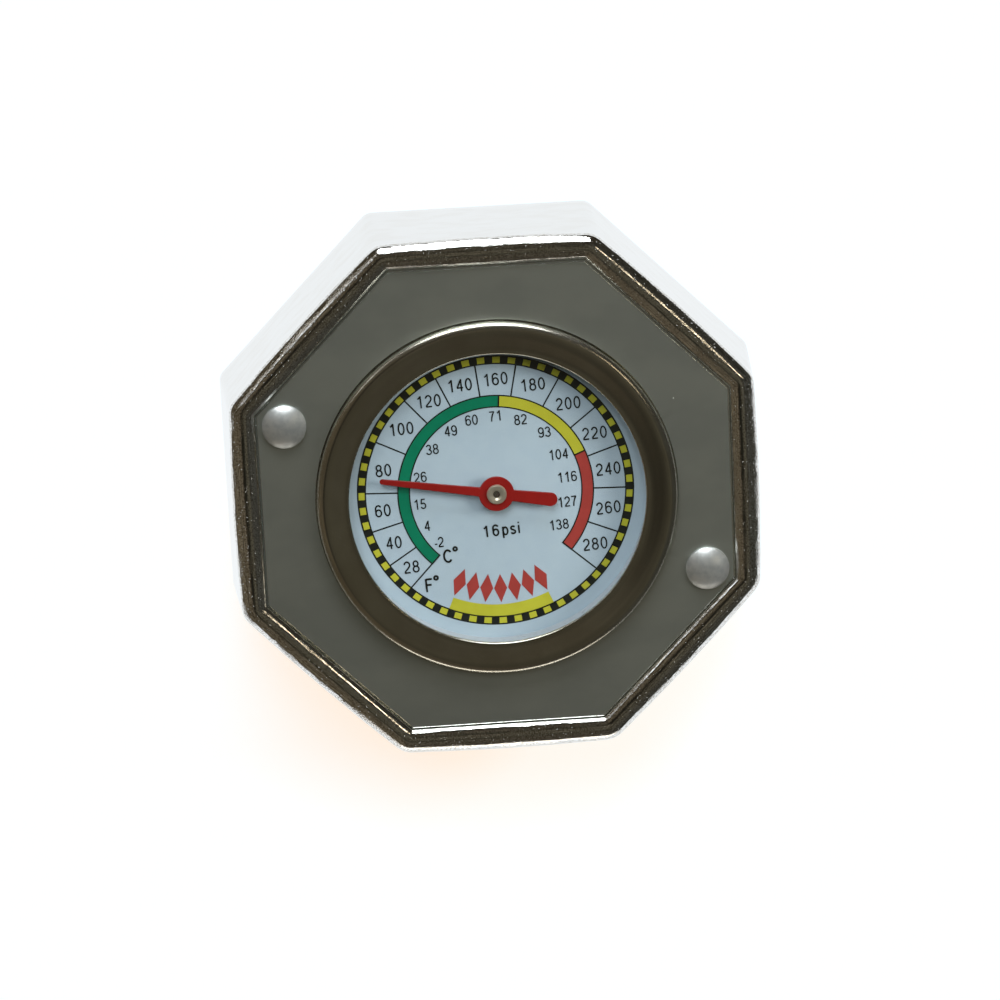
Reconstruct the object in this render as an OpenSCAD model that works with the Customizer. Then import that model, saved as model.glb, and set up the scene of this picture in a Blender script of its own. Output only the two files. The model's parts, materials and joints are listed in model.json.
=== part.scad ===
// Radiator filler cap with a built-in dial thermometer.
// The cap stands on its pressure gasket: z = 0 is the gasket's seat face, +Z runs up
// the cap's axis to the dial, and +Y points at the top of the dial.

/* [Housing] */
// Outward lean of each side wall from the rim down to the bottom edge
housing_draft = 1.05; // [0.6:0.05:2]
// Height from the bottom edge to the face plate's upper surface
housing_h = 20.2; // [18.5:0.1:24]
// Thickness of the side walls
housing_wall = 2.4; // [2:0.1:3]
// Radius of the upright outer corners
housing_corner_r = 2.8; // [2.4:0.1:6]
// Width of the rim bead's rounded crown
rim_w = 2.9; // [2.6:0.1:3.2]
// Radius of the crown
rim_crown_r = 2.3; // [2.1:0.1:3]
// Height of the crown above the face plate
rim_rise = 0.9; // [0.7:0.1:1.2]
// Step from the face plate's recess out to the foot of the crown
rim_inset = 0.05; // [0.05:0.05:0.3]
// Width of the sloping shoulder between the crown and the side walls
rim_shoulder_w = 1.1; // [0.8:0.1:1.5]
// Radius where the shoulder meets the side walls
rim_edge_r = 0.4; // [0.2:0.05:0.6]
// Fall from the face plate's upper surface to the top of the side walls
rim_drop = 0.6; // [0.4:0.1:1]
// Thickness of the web that carries the face plate
web_t = 2; // [1.6:0.1:2.6]
// Depth of the stiffening ribs under the web
rib_h = 3.2; // [2:0.1:4]
// Thickness of the stiffening ribs
rib_t = 1.6; // [1.2:0.1:2.4]
// Radius of the bosses that the rivets pass through
boss_r = 4.2; // [3.4:0.1:4.8]

/* [Face plate] */
// Width of the plate between the bezel's hole and its straight edges
plate_land = 7.8; // [7.2:0.1:10]
// Thickness of the face plate
plate_t = 0.9; // [0.6:0.1:1.4]
// Width of the chamfer along the plate's edge
plate_chamfer = 0.3; // [0.1:0.02:0.6]
// Depth of the chamfer
plate_chamfer_h = 0.28; // [0.1:0.02:0.5]
// Gap around the plate inside the rim
plate_gap = 0.1; // [0.05:0.05:0.3]

/* [Bezel and window] */
// Reach of the bezel's inner lip in over the case
bezel_lap = 1.6; // [1.2:0.1:2.2]
// Width of the bezel's lower edge, turned in under the case's flange
bezel_roll = 0.9; // [0.6:0.1:1.4]
// Sheet thickness of the bezel
bezel_t = 0.4; // [0.3:0.05:0.5]
// Radius of the bezel's outer shoulder
bezel_shoulder_r = 1.4; // [0.9:0.1:1.8]
// Fall of the bezel's face from its shoulder to its inner lip
bezel_fall = 0.35; // [0.1:0.05:0.5]
// Gap between the bezel and the case's flange inside it
flange_gap = 0.2; // [0.1:0.05:0.3]
// Gap between the bezel and the window inside it
lens_gap = 0.15; // [0.1:0.05:0.3]
// Gap between the bezel and the hole in the face plate
bezel_gap = 0.35; // [0.2:0.05:0.6]
// Thickness of the window
lens_t = 0.7; // [0.5:0.1:1.2]
// Thickness of the seal under the window
lens_gasket_t = 0.35; // [0.2:0.05:0.6]

/* [Dial and case] */
// Depth of the dial below the face plate's upper surface
dial_sink = 3.9; // [3.4:0.1:6]
// Thickness of the dial sheet
dial_t = 0.5; // [0.3:0.1:0.8]
// Inner diameter of the case around the dial
case_in_d = 46.4; // [46:0.1:47]
// Sheet thickness of the case
case_t = 0.5; // [0.4:0.05:0.7]
// Width of the case's flange under the window
case_flange_w = 1.9; // [1.5:0.1:2.6]
// Gap between the case and the hole in the housing's web
web_hole_gap = 0.7; // [0.4:0.1:1]
// Width of the ledge that the dial rests on
case_ledge = 1.2; // [0.8:0.1:2]
// Height of the case below its ledge
case_low_h = 3.1; // [2.9:0.1:5]
// Thickness of the bright spacer ring above the dial
dial_ring_t = 0.8; // [0.5:0.1:1.2]

/* [Pointer] */
// Direction that the pointer shows at rest, in degrees from +X
pointer_az = 170.3; // [-41:0.1:226]
// Length from the axis to the pointer's tip
pointer_len = 17.2; // [15:0.1:18.5]
// Length from the axis to the end of the pointer's tail
pointer_tail = 9; // [7:0.1:12]
// Width of the pointer at its tip
pointer_tip_w = 0.8; // [0.6:0.1:1.2]
// Width of the pointer where it leaves the hub disc
pointer_root_w = 1.5; // [1.2:0.1:2]
// Width at the round end of the tail
tail_end_w = 2.05; // [1.4:0.05:2.6]
// Radius of the pointer's hub disc
pointer_hub_r = 2.6; // [2.2:0.1:3.2]
// Thickness of the pointer
pointer_t = 0.45; // [0.3:0.05:0.7]
// Height of the pointer's underside above the dial
pointer_rise = 1.4; // [0.9:0.1:2.2]
// Radius of the metal pin's head on the pointer
pin_head_r = 1.45; // [1.1:0.05:1.9]
// Height of the metal pin's head
pin_head_h = 0.45; // [0.3:0.05:0.8]
// Radius of the pointer shaft
shaft_r = 0.5; // [0.4:0.05:0.65]

/* [Thermometer stem] */
// Outer radius of the probe tube
probe_r = 2.5; // [2.3:0.05:2.6]
// Wall of the probe tube
probe_wall = 0.45; // [0.35:0.05:0.6]
// Height of the probe's tip above the gasket's seat face
probe_tip_z = 0.6; // [0.3:0.1:0.7]
// Outer radius of the threaded shank
shank_r = 5; // [4.5:0.1:5.5]
// Length of the shank below the nut
shank_end = 0.8; // [0.4:0.1:1.6]
// Radius of the fitting's flange inside the case
fitting_flange_r = 7.5; // [6.5:0.1:9]
// Thickness of the fitting's flange
fitting_flange_t = 1.2; // [0.8:0.1:1.3]
// Thickness of the sealing washer under the case
sealing_washer_t = 0.6; // [0.4:0.1:1.2]
// Outer radius of the sealing washer
sealing_washer_r = 9; // [7.5:0.1:11]
// Across flats of the clamping nut
nut_flats = 14; // [13:0.1:15]
// Thickness of the clamping nut
nut_t = 4; // [3:0.1:5]
// Thickness of the lock washer
lock_washer_t = 0.8; // [0.6:0.1:1.2]
// Turns of the bimetal coil
bimetal_turns = 10; // [6:1:10]
// Wire size of the bimetal coil
bimetal_wire = 0.4; // [0.3:0.05:0.4]
// Gap between the bimetal coil and the probe's bore
bimetal_gap = 0.5; // [0.4:0.05:0.6]
// Height of the bimetal coil
bimetal_h = 9.2; // [9.2:0.1:11]

/* [Cap shell] */
// Outer radius of the shell's skirt
skirt_r = 31; // [30.4:0.1:31.6]
// Sheet thickness of the shell
shell_t = 1.2; // [0.9:0.1:1.4]
// Height of the skirt below the shell's top face
skirt_h = 10.9; // [9.5:0.1:12]
// Radius of the shell's rounded shoulder
shell_shoulder_r = 2.2; // [1.6:0.1:3]
// Reach of the two cam ears in from the skirt's inner face
ear_reach = 4.2; // [3.4:0.1:5]
// Inner radius of the bend from the skirt into each ear
ear_bend = 0.8; // [0.5:0.1:1.4]
// Arc of each cam ear, in degrees
ear_arc = 42; // [30:1:50]
// Gap between each rivet's tail and the wing around it
wing_gap = 0.5; // [0.3:0.1:1]
// Half width of each wing where it leaves the skirt
wing_root = 8.5; // [7:0.1:10]
// Depth of the wings below the shell's top face
wing_h = 7; // [5:0.1:8]
// Gap between the skirt and the spring disc that seals on the filler neck
diaphragm_gap = 2.3; // [1.4:0.1:3]
// Width of the disc's flat sealing rim
diaphragm_rim = 3.4; // [2.5:0.1:4.5]
// Fall of the disc from its middle to its rim
diaphragm_fall = 2; // [1:0.1:2.6]
// Thickness of the spring disc
diaphragm_t = 0.4; // [0.3:0.05:0.6]

/* [Pressure valve] */
// Thickness of the rubber seat ring
gasket_t = 3; // [2.6:0.1:3.6]
// Reach of the rubber seat ring beyond the pressure spring
gasket_land = 1.4; // [1:0.1:2]
// Depth of the recess under the rubber ring for the vacuum valve
gasket_recess = 1.6; // [1.5:0.1:1.9]
// Gap around the vacuum valve in that recess
recess_gap = 0.6; // [0.4:0.1:1]
// Thickness of the valve plate
valve_t = 0.8; // [0.6:0.1:1]
// Height of the plate's lip around the rubber ring
valve_lip_h = 1.2; // [0.8:0.1:1.8]
// Gap between the vacuum spring and the valve's neck
neck_gap = 0.85; // [0.6:0.05:1.2]
// Width of the neck's retaining flange
neck_flange_w = 1.6; // [1.2:0.1:2]
// Wire size of the pressure spring
spring_wire = 2.4; // [2:0.1:2.4]
// Gap between the bell and the pressure spring
spring_gap = 1.7; // [1.2:0.1:2.4]
// Turns of the pressure spring
spring_turns = 5; // [4:0.5:5]
// Height of the pressure spring between valve plate and spring disc
spring_h = 19; // [18.4:0.1:20]
// Gap between the neck's flange and the bell that retains it
bell_gap = 0.4; // [0.3:0.05:0.8]
// Sheet thickness of the bell
bell_t = 0.8; // [0.6:0.1:0.9]
// Width of the four windows that let coolant through the bell's wall
bell_window_w = 5; // [3:0.5:7]
// Height of those windows
bell_window_h = 4; // [3:0.5:5]
// Travel of the pressure valve
valve_travel = 3.5; // [2.5:0.1:3.6]

/* [Vacuum valve] */
// Radius of the vacuum valve's disc
vacuum_r = 8.6; // [7.5:0.1:8.7]
// Thickness of the disc
vacuum_t = 0.8; // [0.5:0.1:0.85]
// Wall of its hub tube around the probe
vacuum_hub_wall = 0.94; // [0.7:0.02:1.1]
// Travel of the vacuum valve
vacuum_travel = 1.5; // [1:0.1:1.7]
// Wire size of the vacuum spring
vacuum_wire = 0.5; // [0.4:0.05:0.5]
// Gap between the hub tube and the vacuum spring
vacuum_spring_gap = 1.55; // [1.4:0.05:1.9]
// Turns of the vacuum spring
vacuum_turns = 4.5; // [3:0.5:4.5]
// Length that the vacuum spring keeps to spare when the valve is fully open
vacuum_spare = 1.85; // [1.8:0.05:2.6]
// Thickness of the clip that holds the vacuum spring
clip_t = 0.5; // [0.4:0.05:0.7]

/* [Rivets] */
// Distance from each of two corners of the face plate in to its rivet
rivet_inset = 4.38; // [4:0.02:5]
// Direction of the first rivet, in degrees from +X
rivet_az = 157.5; // [157.5:45:337.5]
// Radius of the rivet's shank
rivet_shank_r = 2; // [1.6:0.1:2.3]
// Radius of the domed head
rivet_head_r = 3.07; // [2.8:0.01:3.4]
// Height of the domed head
rivet_head_h = 1.7; // [1.2:0.1:2.4]
// Radius of the tail set inside the wing
rivet_tail_r = 2.9; // [2.5:0.1:3]
// Height of the tail
rivet_tail_h = 1.4; // [1:0.1:2]

/* [Fits] */
// Radial clearance of pieces that pass through holes without moving
hole_fit = 0.05; // [0.02:0.01:0.1]
// Radial clearance of the shaft in its bushes
run_fit = 0.05; // [0.02:0.01:0.08]
// Radial clearance of the vacuum valve on the probe
slide_fit = 0.06; // [0.03:0.01:0.1]
// Radial clearance of the valve's neck in the bell
neck_fit = 0.3; // [0.2:0.05:0.5]
// Small gap between faces that must not bind
face_gap = 0.05; // [0.03:0.01:0.1]

/* [Hidden] */
$fn = 96;
eps = 0.01;
// Overrun of a cut past the surface that it opens
over = 1;
// Half of the angle that one side of an octagon takes
half_side = 180 / 8;

// Levels from the gasket's seat face upwards.
z_valve = gasket_t;
z_spring = z_valve + valve_t;
z_diaphragm = z_spring + spring_h;
z_shell = z_diaphragm + diaphragm_t;
z_shell_top = z_shell + shell_t;
z_case = z_shell_top + sealing_washer_t;
z_ledge = z_case + case_low_h;
z_dial = z_ledge + dial_t;
z_plate = z_dial + dial_sink;
z_web = z_plate - plate_t;
z_web_under = z_web - web_t;
z_base = z_plate - housing_h;

// Levels of the bezel stack, which stands on the web.
z_roll = z_web + face_gap;
z_flange = z_roll + bezel_t;
z_lens_gasket = z_flange + case_t;
z_lens = z_lens_gasket + lens_gasket_t;
z_lens_top = z_lens + lens_t;
z_bezel_in = z_lens_top + bezel_t;
z_bezel_top = z_bezel_in + bezel_fall;

// Levels below the shell.
z_bell_top = z_diaphragm;
z_bell_under = z_bell_top - bell_t;
z_lock = z_bell_under - lock_washer_t;
z_nut = z_lock - nut_t;
z_shank = z_nut - shank_end;
z_skirt = z_shell_top - skirt_h;
z_wing = z_shell_top - wing_h;
z_vacuum = gasket_recess - vacuum_t - face_gap;
vacuum_spring_h = vacuum_turns * vacuum_wire + vacuum_travel + vacuum_spare;
z_clip = z_spring + vacuum_spring_h;
hub_stand = 0.6;
vacuum_hub_top = z_clip + clip_t + hub_stand;

// The neck's flange hangs on the bell's turned-in lip, above the valve's travel.
stop_gap = 0.7;
z_bell = z_spring + valve_travel + stop_gap;
z_neck_flange = z_bell + bell_t;

// Radii of the gauge, from the case outwards.
case_in_r = case_in_d / 2;
case_r = case_in_r + case_t;
case_flange_r = case_r + case_flange_w;
bezel_r = case_flange_r + flange_gap + bezel_t;
bezel_in_r = case_in_r - bezel_lap;
roll_in_r = bezel_r - bezel_t - bezel_roll;
lens_r = bezel_r - bezel_t - lens_gap;
web_hole_r = case_r + web_hole_gap;
plate_hole_r = bezel_r + bezel_gap;
dial_gap = 0.1;
dial_r = case_in_r - dial_gap;

// Apothems of the octagons around the gauge.
plate_ap = plate_hole_r + plate_land;
recess_ap = plate_ap + plate_gap;
rim_in_ap = recess_ap + rim_inset;
top_ap = rim_in_ap + rim_w + rim_shoulder_w;
base_ap = top_ap + housing_draft;
plate_corner_r = 0.25;
recess_lip = 0.15;
rim_foot = 0.1;
z_wall_top = z_plate - rim_drop;
function wall_ap(z) = base_ap + (top_ap - base_ap) * (z - z_base) / (z_wall_top - z_base);

// Rivets stand on the line through two corners of the face plate.
rivet_circle_r = plate_ap / cos(half_side) - rivet_inset;
rivet_hole_r = rivet_shank_r + hole_fit;
wing_r = rivet_tail_r + wing_gap + shell_t;
ear_az = rivet_az - 90;

// Radii of the shell.
skirt_in_r = skirt_r - shell_t;
ear_in_r = skirt_in_r - ear_reach;
diaphragm_r = skirt_in_r - diaphragm_gap;

// Radii of the valve train, from the probe outwards.
bore_r = probe_r - probe_wall;
bimetal_r = bore_r - bimetal_gap - bimetal_wire / 2;
shaft_hole_r = shaft_r + run_fit;
bush_nose_r = 1.5;
pin_neck_wall = 0.4;
pin_neck_r = shaft_r + pin_neck_wall;
shank_hole_r = shank_r + hole_fit;
vacuum_hub_in_r = probe_r + slide_fit;
vacuum_hub_r = vacuum_hub_in_r + vacuum_hub_wall;
clip_groove = 0.35;
clip_groove_r = vacuum_hub_r - clip_groove;
seat_gap = 0.9;
seat_hole_r = vacuum_hub_r + seat_gap;
vacuum_spring_r = vacuum_hub_r + vacuum_spring_gap + vacuum_wire / 2;
neck_in_r = vacuum_spring_r + vacuum_wire / 2 + neck_gap;
neck_r = neck_in_r + valve_t;
neck_flange_r = neck_r + neck_flange_w;
bell_in_r = neck_flange_r + bell_gap;
bell_r = bell_in_r + bell_t;
spring_r = bell_r + spring_gap + spring_wire / 2;
gasket_r = spring_r + spring_wire / 2 + gasket_land;
gasket_recess_r = vacuum_r + recess_gap;

// Levels inside the probe.
z_probe_floor = probe_tip_z + probe_wall;
z_anchor = z_probe_floor + face_gap;
anchor_h = 1.2;
z_coil = z_anchor + anchor_h + face_gap;
coil_end_gap = 0.1;
z_collar = z_coil + bimetal_h + coil_end_gap;
collar_h = 1;
collar_gap = 0.4;
z_guide = z_collar + collar_h + collar_gap;
guide_h = 1.5;
z_fitting_top = z_case + case_t + fitting_flange_t;
z_pointer = z_dial + pointer_rise;
z_pin_head = z_pointer + pointer_t;
z_pin_top = z_pin_head + pin_head_h;

// Points along an arc, from angle a0 to a1.
function arc(x, y, r, a0, a1, n) =
    [for (i = [0:n]) let (a = a0 + (a1 - a0) * i / n) [x + r * cos(a), y + r * sin(a)]];

// One ring of an octagon with rounded corners. Each ring is [apothem, corner radius, z].
function oct_ring(ring, steps) =
    let (ap = ring[0], rc = ring[1], c = (ap - rc) / cos(half_side))
    [for (k = [0:7], i = [0:steps])
        let (az = half_side * (2 * k + 1), a = az - half_side + 2 * half_side * i / steps)
        [c * cos(az) + rc * cos(a), c * sin(az) + rc * sin(a), ring[2]]];

// Solid skinned over a row of octagon rings, closed by a flat cap at each end.
module oct_loft(rings, steps = 6) {
    n = 8 * (steps + 1);
    last = len(rings) - 1;
    points = [for (ring = rings) each oct_ring(ring, steps)];
    sides = [for (j = [0:last - 1], i = [0:n - 1])
        let (k = (i + 1) % n, a = j * n + i, b = j * n + k)
        each [[a, b, b + n], [a, b + n, a + n]]];
    top = [for (i = [n - 1:-1:0]) i];
    bottom = [for (i = [0:n - 1]) last * n + i];
    polyhedron(points = points, faces = concat([top], sides, [bottom]), convexity = 6);
}

// Flat ring.
module ring(r_in, r_out, z, h) {
    translate([0, 0, z])
        difference() {
            cylinder(r = r_out, h = h);
            translate([0, 0, -eps]) cylinder(r = r_in, h = h + 2 * eps);
        }
}

// Puts the children at both rivets.
module at_rivets() {
    for (half = [0:1])
        rotate([0, 0, rivet_az + 180 * half])
            translate([rivet_circle_r, 0, 0])
            children();
}

// Centre line of a coil. The pitch is closer over the first and last turn.
coil_rings = 8;
coil_sides = 6;
// Points this far apart along a line lie on different turns.
coil_skip = 5;
// Pitch of the first and last turn, as a share of the mean pitch
fine_lead = 0.96;
heavy_lead = 0.85;
function eased(t, turns, lead) =
    let (s = 1 / turns, slow = lead * s, mid = (1 - 2 * slow) / (1 - 2 * s))
    t < s ? t / s * slow : t > 1 - s ? 1 - (1 - t) / s * slow : slow + (t - s) * mid;
function coil_line(r, wire, z, h, turns, lead) =
    let (n = round(turns * coil_rings))
    [for (i = [0:n]) let (t = i / n, a = 360 * turns * t)
        [r * cos(a), r * sin(a), z + wire / 2 + (h - wire) * eased(t, turns, lead)]];

// Smallest clear distance between turns, measured on the centre line's points.
function coil_gap(line, wire) =
    min([for (i = [0:len(line) - 1], j = [i + coil_skip:1:len(line) - 1]) norm(line[i] - line[j])]) - wire;

// Wire swept along a centre line that winds about the Z axis.
module coil(line, wire) {
    n = len(line);
    m = coil_sides;
    points = [for (p = line) let (a = atan2(p[1], p[0])) each
        [for (k = [0:m - 1]) let (b = 360 * k / m, u = wire / 2 * cos(b), w = wire / 2 * sin(b))
            [p[0] + u * cos(a), p[1] + u * sin(a), p[2] + w]]];
    sides = [for (j = [0:n - 2], k = [0:m - 1])
        let (q = (k + 1) % m, a = j * m + k, b = j * m + q)
        each [[a, b, b + m], [a, b + m, a + m]]];
    first = [for (k = [m - 1:-1:0]) k];
    end = [for (k = [0:m - 1]) (n - 1) * m + k];
    polyhedron(points = points, faces = concat([first], sides, [end]), convexity = 10);
}

// Octagonal casting: side walls, rim bead, web, bosses and ribs.
module housing() {
    edge = 0.5;
    fillet = 1;
    tight_r = 0.8;
    sharp_r = 0.6;
    crown_steps = 12;
    edge_steps = 3;
    edge_turn = 45;
    inner_r = max(housing_corner_r - housing_wall, tight_r);
    top_in_ap = wall_ap(z_web_under) - housing_wall;
    rise_a = acos(1 - (rim_rise - rim_foot) / rim_crown_r);
    crown_ap = rim_in_ap + rim_crown_r * sin(rise_a);
    fall_a = asin((rim_in_ap + rim_w - crown_ap) / rim_crown_r);
    crown = arc(crown_ap, z_plate + rim_rise - rim_crown_r, rim_crown_r, 90 + rise_a, 90 - fall_a,
        crown_steps);
    shoulder = arc(top_ap - rim_edge_r, z_wall_top, rim_edge_r, edge_turn, 0, edge_steps);
    bead = [for (p = concat(crown, shoulder)) let (out = (p[0] - rim_in_ap) / (top_ap - rim_in_ap))
        [p[0], sharp_r + (housing_corner_r - sharp_r) * out, p[1]]];
    rings = concat(
        [[recess_ap, plate_corner_r, z_web], [recess_ap, plate_corner_r, z_plate - recess_lip]],
        bead,
        [[base_ap, housing_corner_r, z_base + edge],
         [base_ap - edge, housing_corner_r - edge / 2, z_base],
         [base_ap - housing_wall + edge / 2, inner_r, z_base],
         [base_ap - housing_wall, inner_r, z_base + edge / 2],
         [top_in_ap, inner_r, z_web_under - fillet],
         [top_in_ap - fillet, tight_r, z_web_under]]);
    rib_step = 1;
    rib_root = 0.4;
    rib_in = web_hole_r + rib_step;
    rib_z = z_web_under - rib_h;
    rib_out = (wall_ap(rib_z) - housing_wall - inner_r) / cos(half_side) + inner_r + rib_root;
    color("gainsboro")
    difference() {
        union() {
            oct_loft(rings);
            at_rivets()
                translate([0, 0, z_shell_top])
                cylinder(r = boss_r, h = z_web - web_t / 2 - z_shell_top);
            for (k = [0:7])
                rotate([0, 0, half_side * (2 * k + 1)])
                    translate([rib_in, -rib_t / 2, rib_z])
                    cube([rib_out - rib_in, rib_t, rib_h + web_t / 2]);
        }
        translate([0, 0, rib_z - over])
            cylinder(r = web_hole_r, h = web_t + rib_h + 2 * over);
        at_rivets()
            translate([0, 0, z_shell_top - over])
            cylinder(r = rivet_hole_r, h = z_plate - z_shell_top + 2 * over);
    }
}

// Octagonal face sheet with a chamfered edge, the gauge's hole and two rivet holes.
module face_plate() {
    rings = [[plate_ap, plate_corner_r, z_web],
             [plate_ap, plate_corner_r, z_plate - plate_chamfer_h],
             [plate_ap - plate_chamfer, plate_corner_r, z_plate]];
    color([0.42, 0.42, 0.4])
    difference() {
        oct_loft([for (i = [len(rings) - 1:-1:0]) rings[i]]);
        translate([0, 0, z_web - over])
            cylinder(r = plate_hole_r, h = plate_t + 2 * over);
        at_rivets()
            translate([0, 0, z_web - over])
            cylinder(r = rivet_hole_r, h = plate_t + 2 * over);
    }
}

// Two domed rivets with set tails.
module rivets() {
    dome_r = (rivet_head_r * rivet_head_r + rivet_head_h * rivet_head_h) / (2 * rivet_head_h);
    color("silver")
    at_rivets() {
        translate([0, 0, z_shell - rivet_tail_h])
            cylinder(r = rivet_tail_r, h = rivet_tail_h);
        translate([0, 0, z_shell - rivet_tail_h / 2])
            cylinder(r = rivet_shank_r, h = z_plate + rivet_head_h / 2 - z_shell + rivet_tail_h / 2);
        intersection() {
            translate([0, 0, z_plate + rivet_head_h - dome_r]) sphere(r = dome_r);
            translate([0, 0, z_plate]) cylinder(r = rivet_head_r + over, h = rivet_head_h + over);
        }
    }
}

// Bezel rolled from sheet: shoulder, sloping face, inner lip and an edge turned in below.
module dial_bezel() {
    s = bezel_shoulder_r;
    lip = 0.3;
    profile = concat(
        [[roll_in_r, z_roll], [bezel_r - bezel_t, z_roll], [bezel_r, z_roll + bezel_t]],
        arc(bezel_r - s, z_bezel_top - s, s, 0, 90, 6),
        arc(bezel_in_r + lip, z_bezel_in - lip, lip, 90, 180, 3),
        [[bezel_in_r, z_lens_top], [bezel_r - bezel_t, z_lens_top],
         [bezel_r - bezel_t, z_flange], [roll_in_r, z_flange]]);
    color([0.35, 0.31, 0.26])
    rotate_extrude() polygon(profile);
}

// Clear window.
module lens() {
    color([0.8, 0.9, 0.95, 0.3])
    translate([0, 0, z_lens])
        cylinder(r = lens_r, h = lens_t);
}

// Seal between the case's flange and the window.
module lens_gasket() {
    color([0.1, 0.1, 0.1])
    ring(case_in_r + flange_gap, lens_r, z_lens_gasket, lens_gasket_t);
}

// Bright spacer wall that holds the dial down.
module dial_ring() {
    color("whitesmoke")
    ring(dial_r - dial_ring_t, dial_r, z_dial, z_lens - face_gap - z_dial);
}

// Printed dial sheet.
module dial_plate() {
    color([0.82, 0.86, 0.9])
    ring(bush_nose_r + hole_fit, dial_r, z_ledge, dial_t);
}

// Drawn cup with a ledge for the dial and a flange under the window.
module gauge_case() {
    low_r = case_in_r - case_ledge;
    profile = [
        [shank_hole_r, z_case], [low_r + case_t, z_case],
        [low_r + case_t, z_ledge - case_t], [case_r, z_ledge - case_t],
        [case_r, z_flange], [case_flange_r, z_flange],
        [case_flange_r, z_lens_gasket], [case_in_r, z_lens_gasket],
        [case_in_r, z_ledge], [low_r, z_ledge],
        [low_r, z_case + case_t], [shank_hole_r, z_case + case_t]
    ];
    color([0.55, 0.56, 0.57])
    rotate_extrude() polygon(profile);
}

// Flanged and threaded boss that clamps the gauge to the shell.
module stem_fitting() {
    lead = 0.6;
    profile = [
        [probe_r + hole_fit, z_shank], [shank_r - lead, z_shank], [shank_r, z_shank + lead],
        [shank_r, z_case + case_t], [fitting_flange_r, z_case + case_t],
        [fitting_flange_r, z_fitting_top], [probe_r + hole_fit, z_fitting_top]
    ];
    color([0.78, 0.66, 0.38])
    rotate_extrude() polygon(profile);
}

// Closed tube that dips into the coolant.
module probe_tube() {
    tip = 1.2;
    profile = concat(
        [[0, z_probe_floor], [0, probe_tip_z]],
        arc(probe_r - tip, probe_tip_z + tip, tip, -90, 0, 5),
        [[probe_r, z_fitting_top], [bore_r, z_fitting_top], [bore_r, z_probe_floor]]);
    color([0.74, 0.75, 0.76])
    rotate_extrude() polygon(profile);
}

// Bush at the top of the stem, with a nose up through the dial.
module upper_bearing() {
    seat = 0.6;
    seat_land = 1.95;
    seat_r = bore_r + seat_land;
    spigot = 1.5;
    nose = 0.4;
    color([0.8, 0.68, 0.4])
    rotate_extrude()
        polygon([[shaft_hole_r, z_fitting_top - spigot], [bore_r - hole_fit, z_fitting_top - spigot],
                 [bore_r - hole_fit, z_fitting_top], [seat_r, z_fitting_top],
                 [seat_r, z_fitting_top + seat], [bush_nose_r, z_fitting_top + seat],
                 [bush_nose_r, z_dial + nose], [shaft_hole_r, z_dial + nose]]);
}

// Bush that keeps the shaft in the middle of the tube.
module lower_guide() {
    color([0.8, 0.68, 0.4])
    ring(shaft_hole_r, bore_r - hole_fit, z_guide, guide_h);
}

// Plug that holds the coil's lower end.
module coil_anchor() {
    color([0.6, 0.6, 0.62])
    translate([0, 0, z_anchor])
        cylinder(r = bore_r - hole_fit, h = anchor_h);
}

bimetal_line = coil_line(bimetal_r, bimetal_wire, z_coil, bimetal_h, bimetal_turns, fine_lead);
echo(str("bimetal_coil least gap mm: ", coil_gap(bimetal_line, bimetal_wire)));

// Wound strip that turns the shaft as it warms.
module bimetal_coil() {
    color([0.75, 0.6, 0.35])
    coil(bimetal_line, bimetal_wire);
}

// Collar on the shaft for the coil's upper end.
module shaft_collar() {
    color([0.7, 0.7, 0.72])
    ring(shaft_r, bimetal_r + bimetal_wire / 2, z_collar, collar_h);
}

// Shaft from the coil to the pointer.
module pointer_shaft() {
    lift = 0.2;
    sink = 0.25;
    color([0.7, 0.7, 0.72])
    translate([0, 0, z_coil + lift])
        cylinder(r = shaft_r, h = z_pin_top - sink - z_coil - lift);
}

// Pointer with a tapered blade, a hub disc and a tail with a round end.
module pointer() {
    tip_r = pointer_tip_w / 2;
    tail_r = tail_end_w / 2;
    root = pointer_root_w / 2;
    outline = concat(
        arc(pointer_len - tip_r, 0, tip_r, -90, 90, 8), [[0, root]],
        arc(tail_r - pointer_tail, 0, tail_r, 90, 270, 10), [[0, -root]]);
    color([0.8, 0.1, 0.1])
    translate([0, 0, z_pointer])
        rotate([0, 0, pointer_az])
        difference() {
            union() {
                linear_extrude(height = pointer_t) polygon(outline);
                cylinder(r = pointer_hub_r, h = pointer_t);
            }
            translate([0, 0, -over]) cylinder(r = pin_neck_r + hole_fit, h = pointer_t + 2 * over);
        }
}

// Metal pin that carries the pointer on the shaft.
module pointer_hub() {
    dimple = 0.35;
    foot = 0.6;
    edge = 0.15;
    profile = [
        [shaft_r, z_pointer - foot], [pin_head_r, z_pointer - foot], [pin_head_r, z_pointer],
        [pin_neck_r, z_pointer], [pin_neck_r, z_pin_head], [pin_head_r, z_pin_head],
        [pin_head_r, z_pin_top - edge], [pin_head_r - edge, z_pin_top],
        [shaft_r + dimple, z_pin_top], [shaft_r, z_pin_top - dimple]
    ];
    color([0.6, 0.56, 0.48])
    rotate_extrude() polygon(profile);
}

// Washer that seals the case on the shell.
module sealing_washer() {
    color([0.15, 0.15, 0.15])
    ring(shank_hole_r, sealing_washer_r, z_shell_top, sealing_washer_t);
}

// Split washer under the nut.
module lock_washer() {
    proud = 0.9;
    split = 1;
    color([0.6, 0.6, 0.62])
    difference() {
        ring(shank_hole_r, nut_flats / 2 + proud, z_lock, lock_washer_t);
        translate([0, -split / 2, z_lock - over]) cube([nut_flats, split, lock_washer_t + 2 * over]);
    }
}

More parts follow.
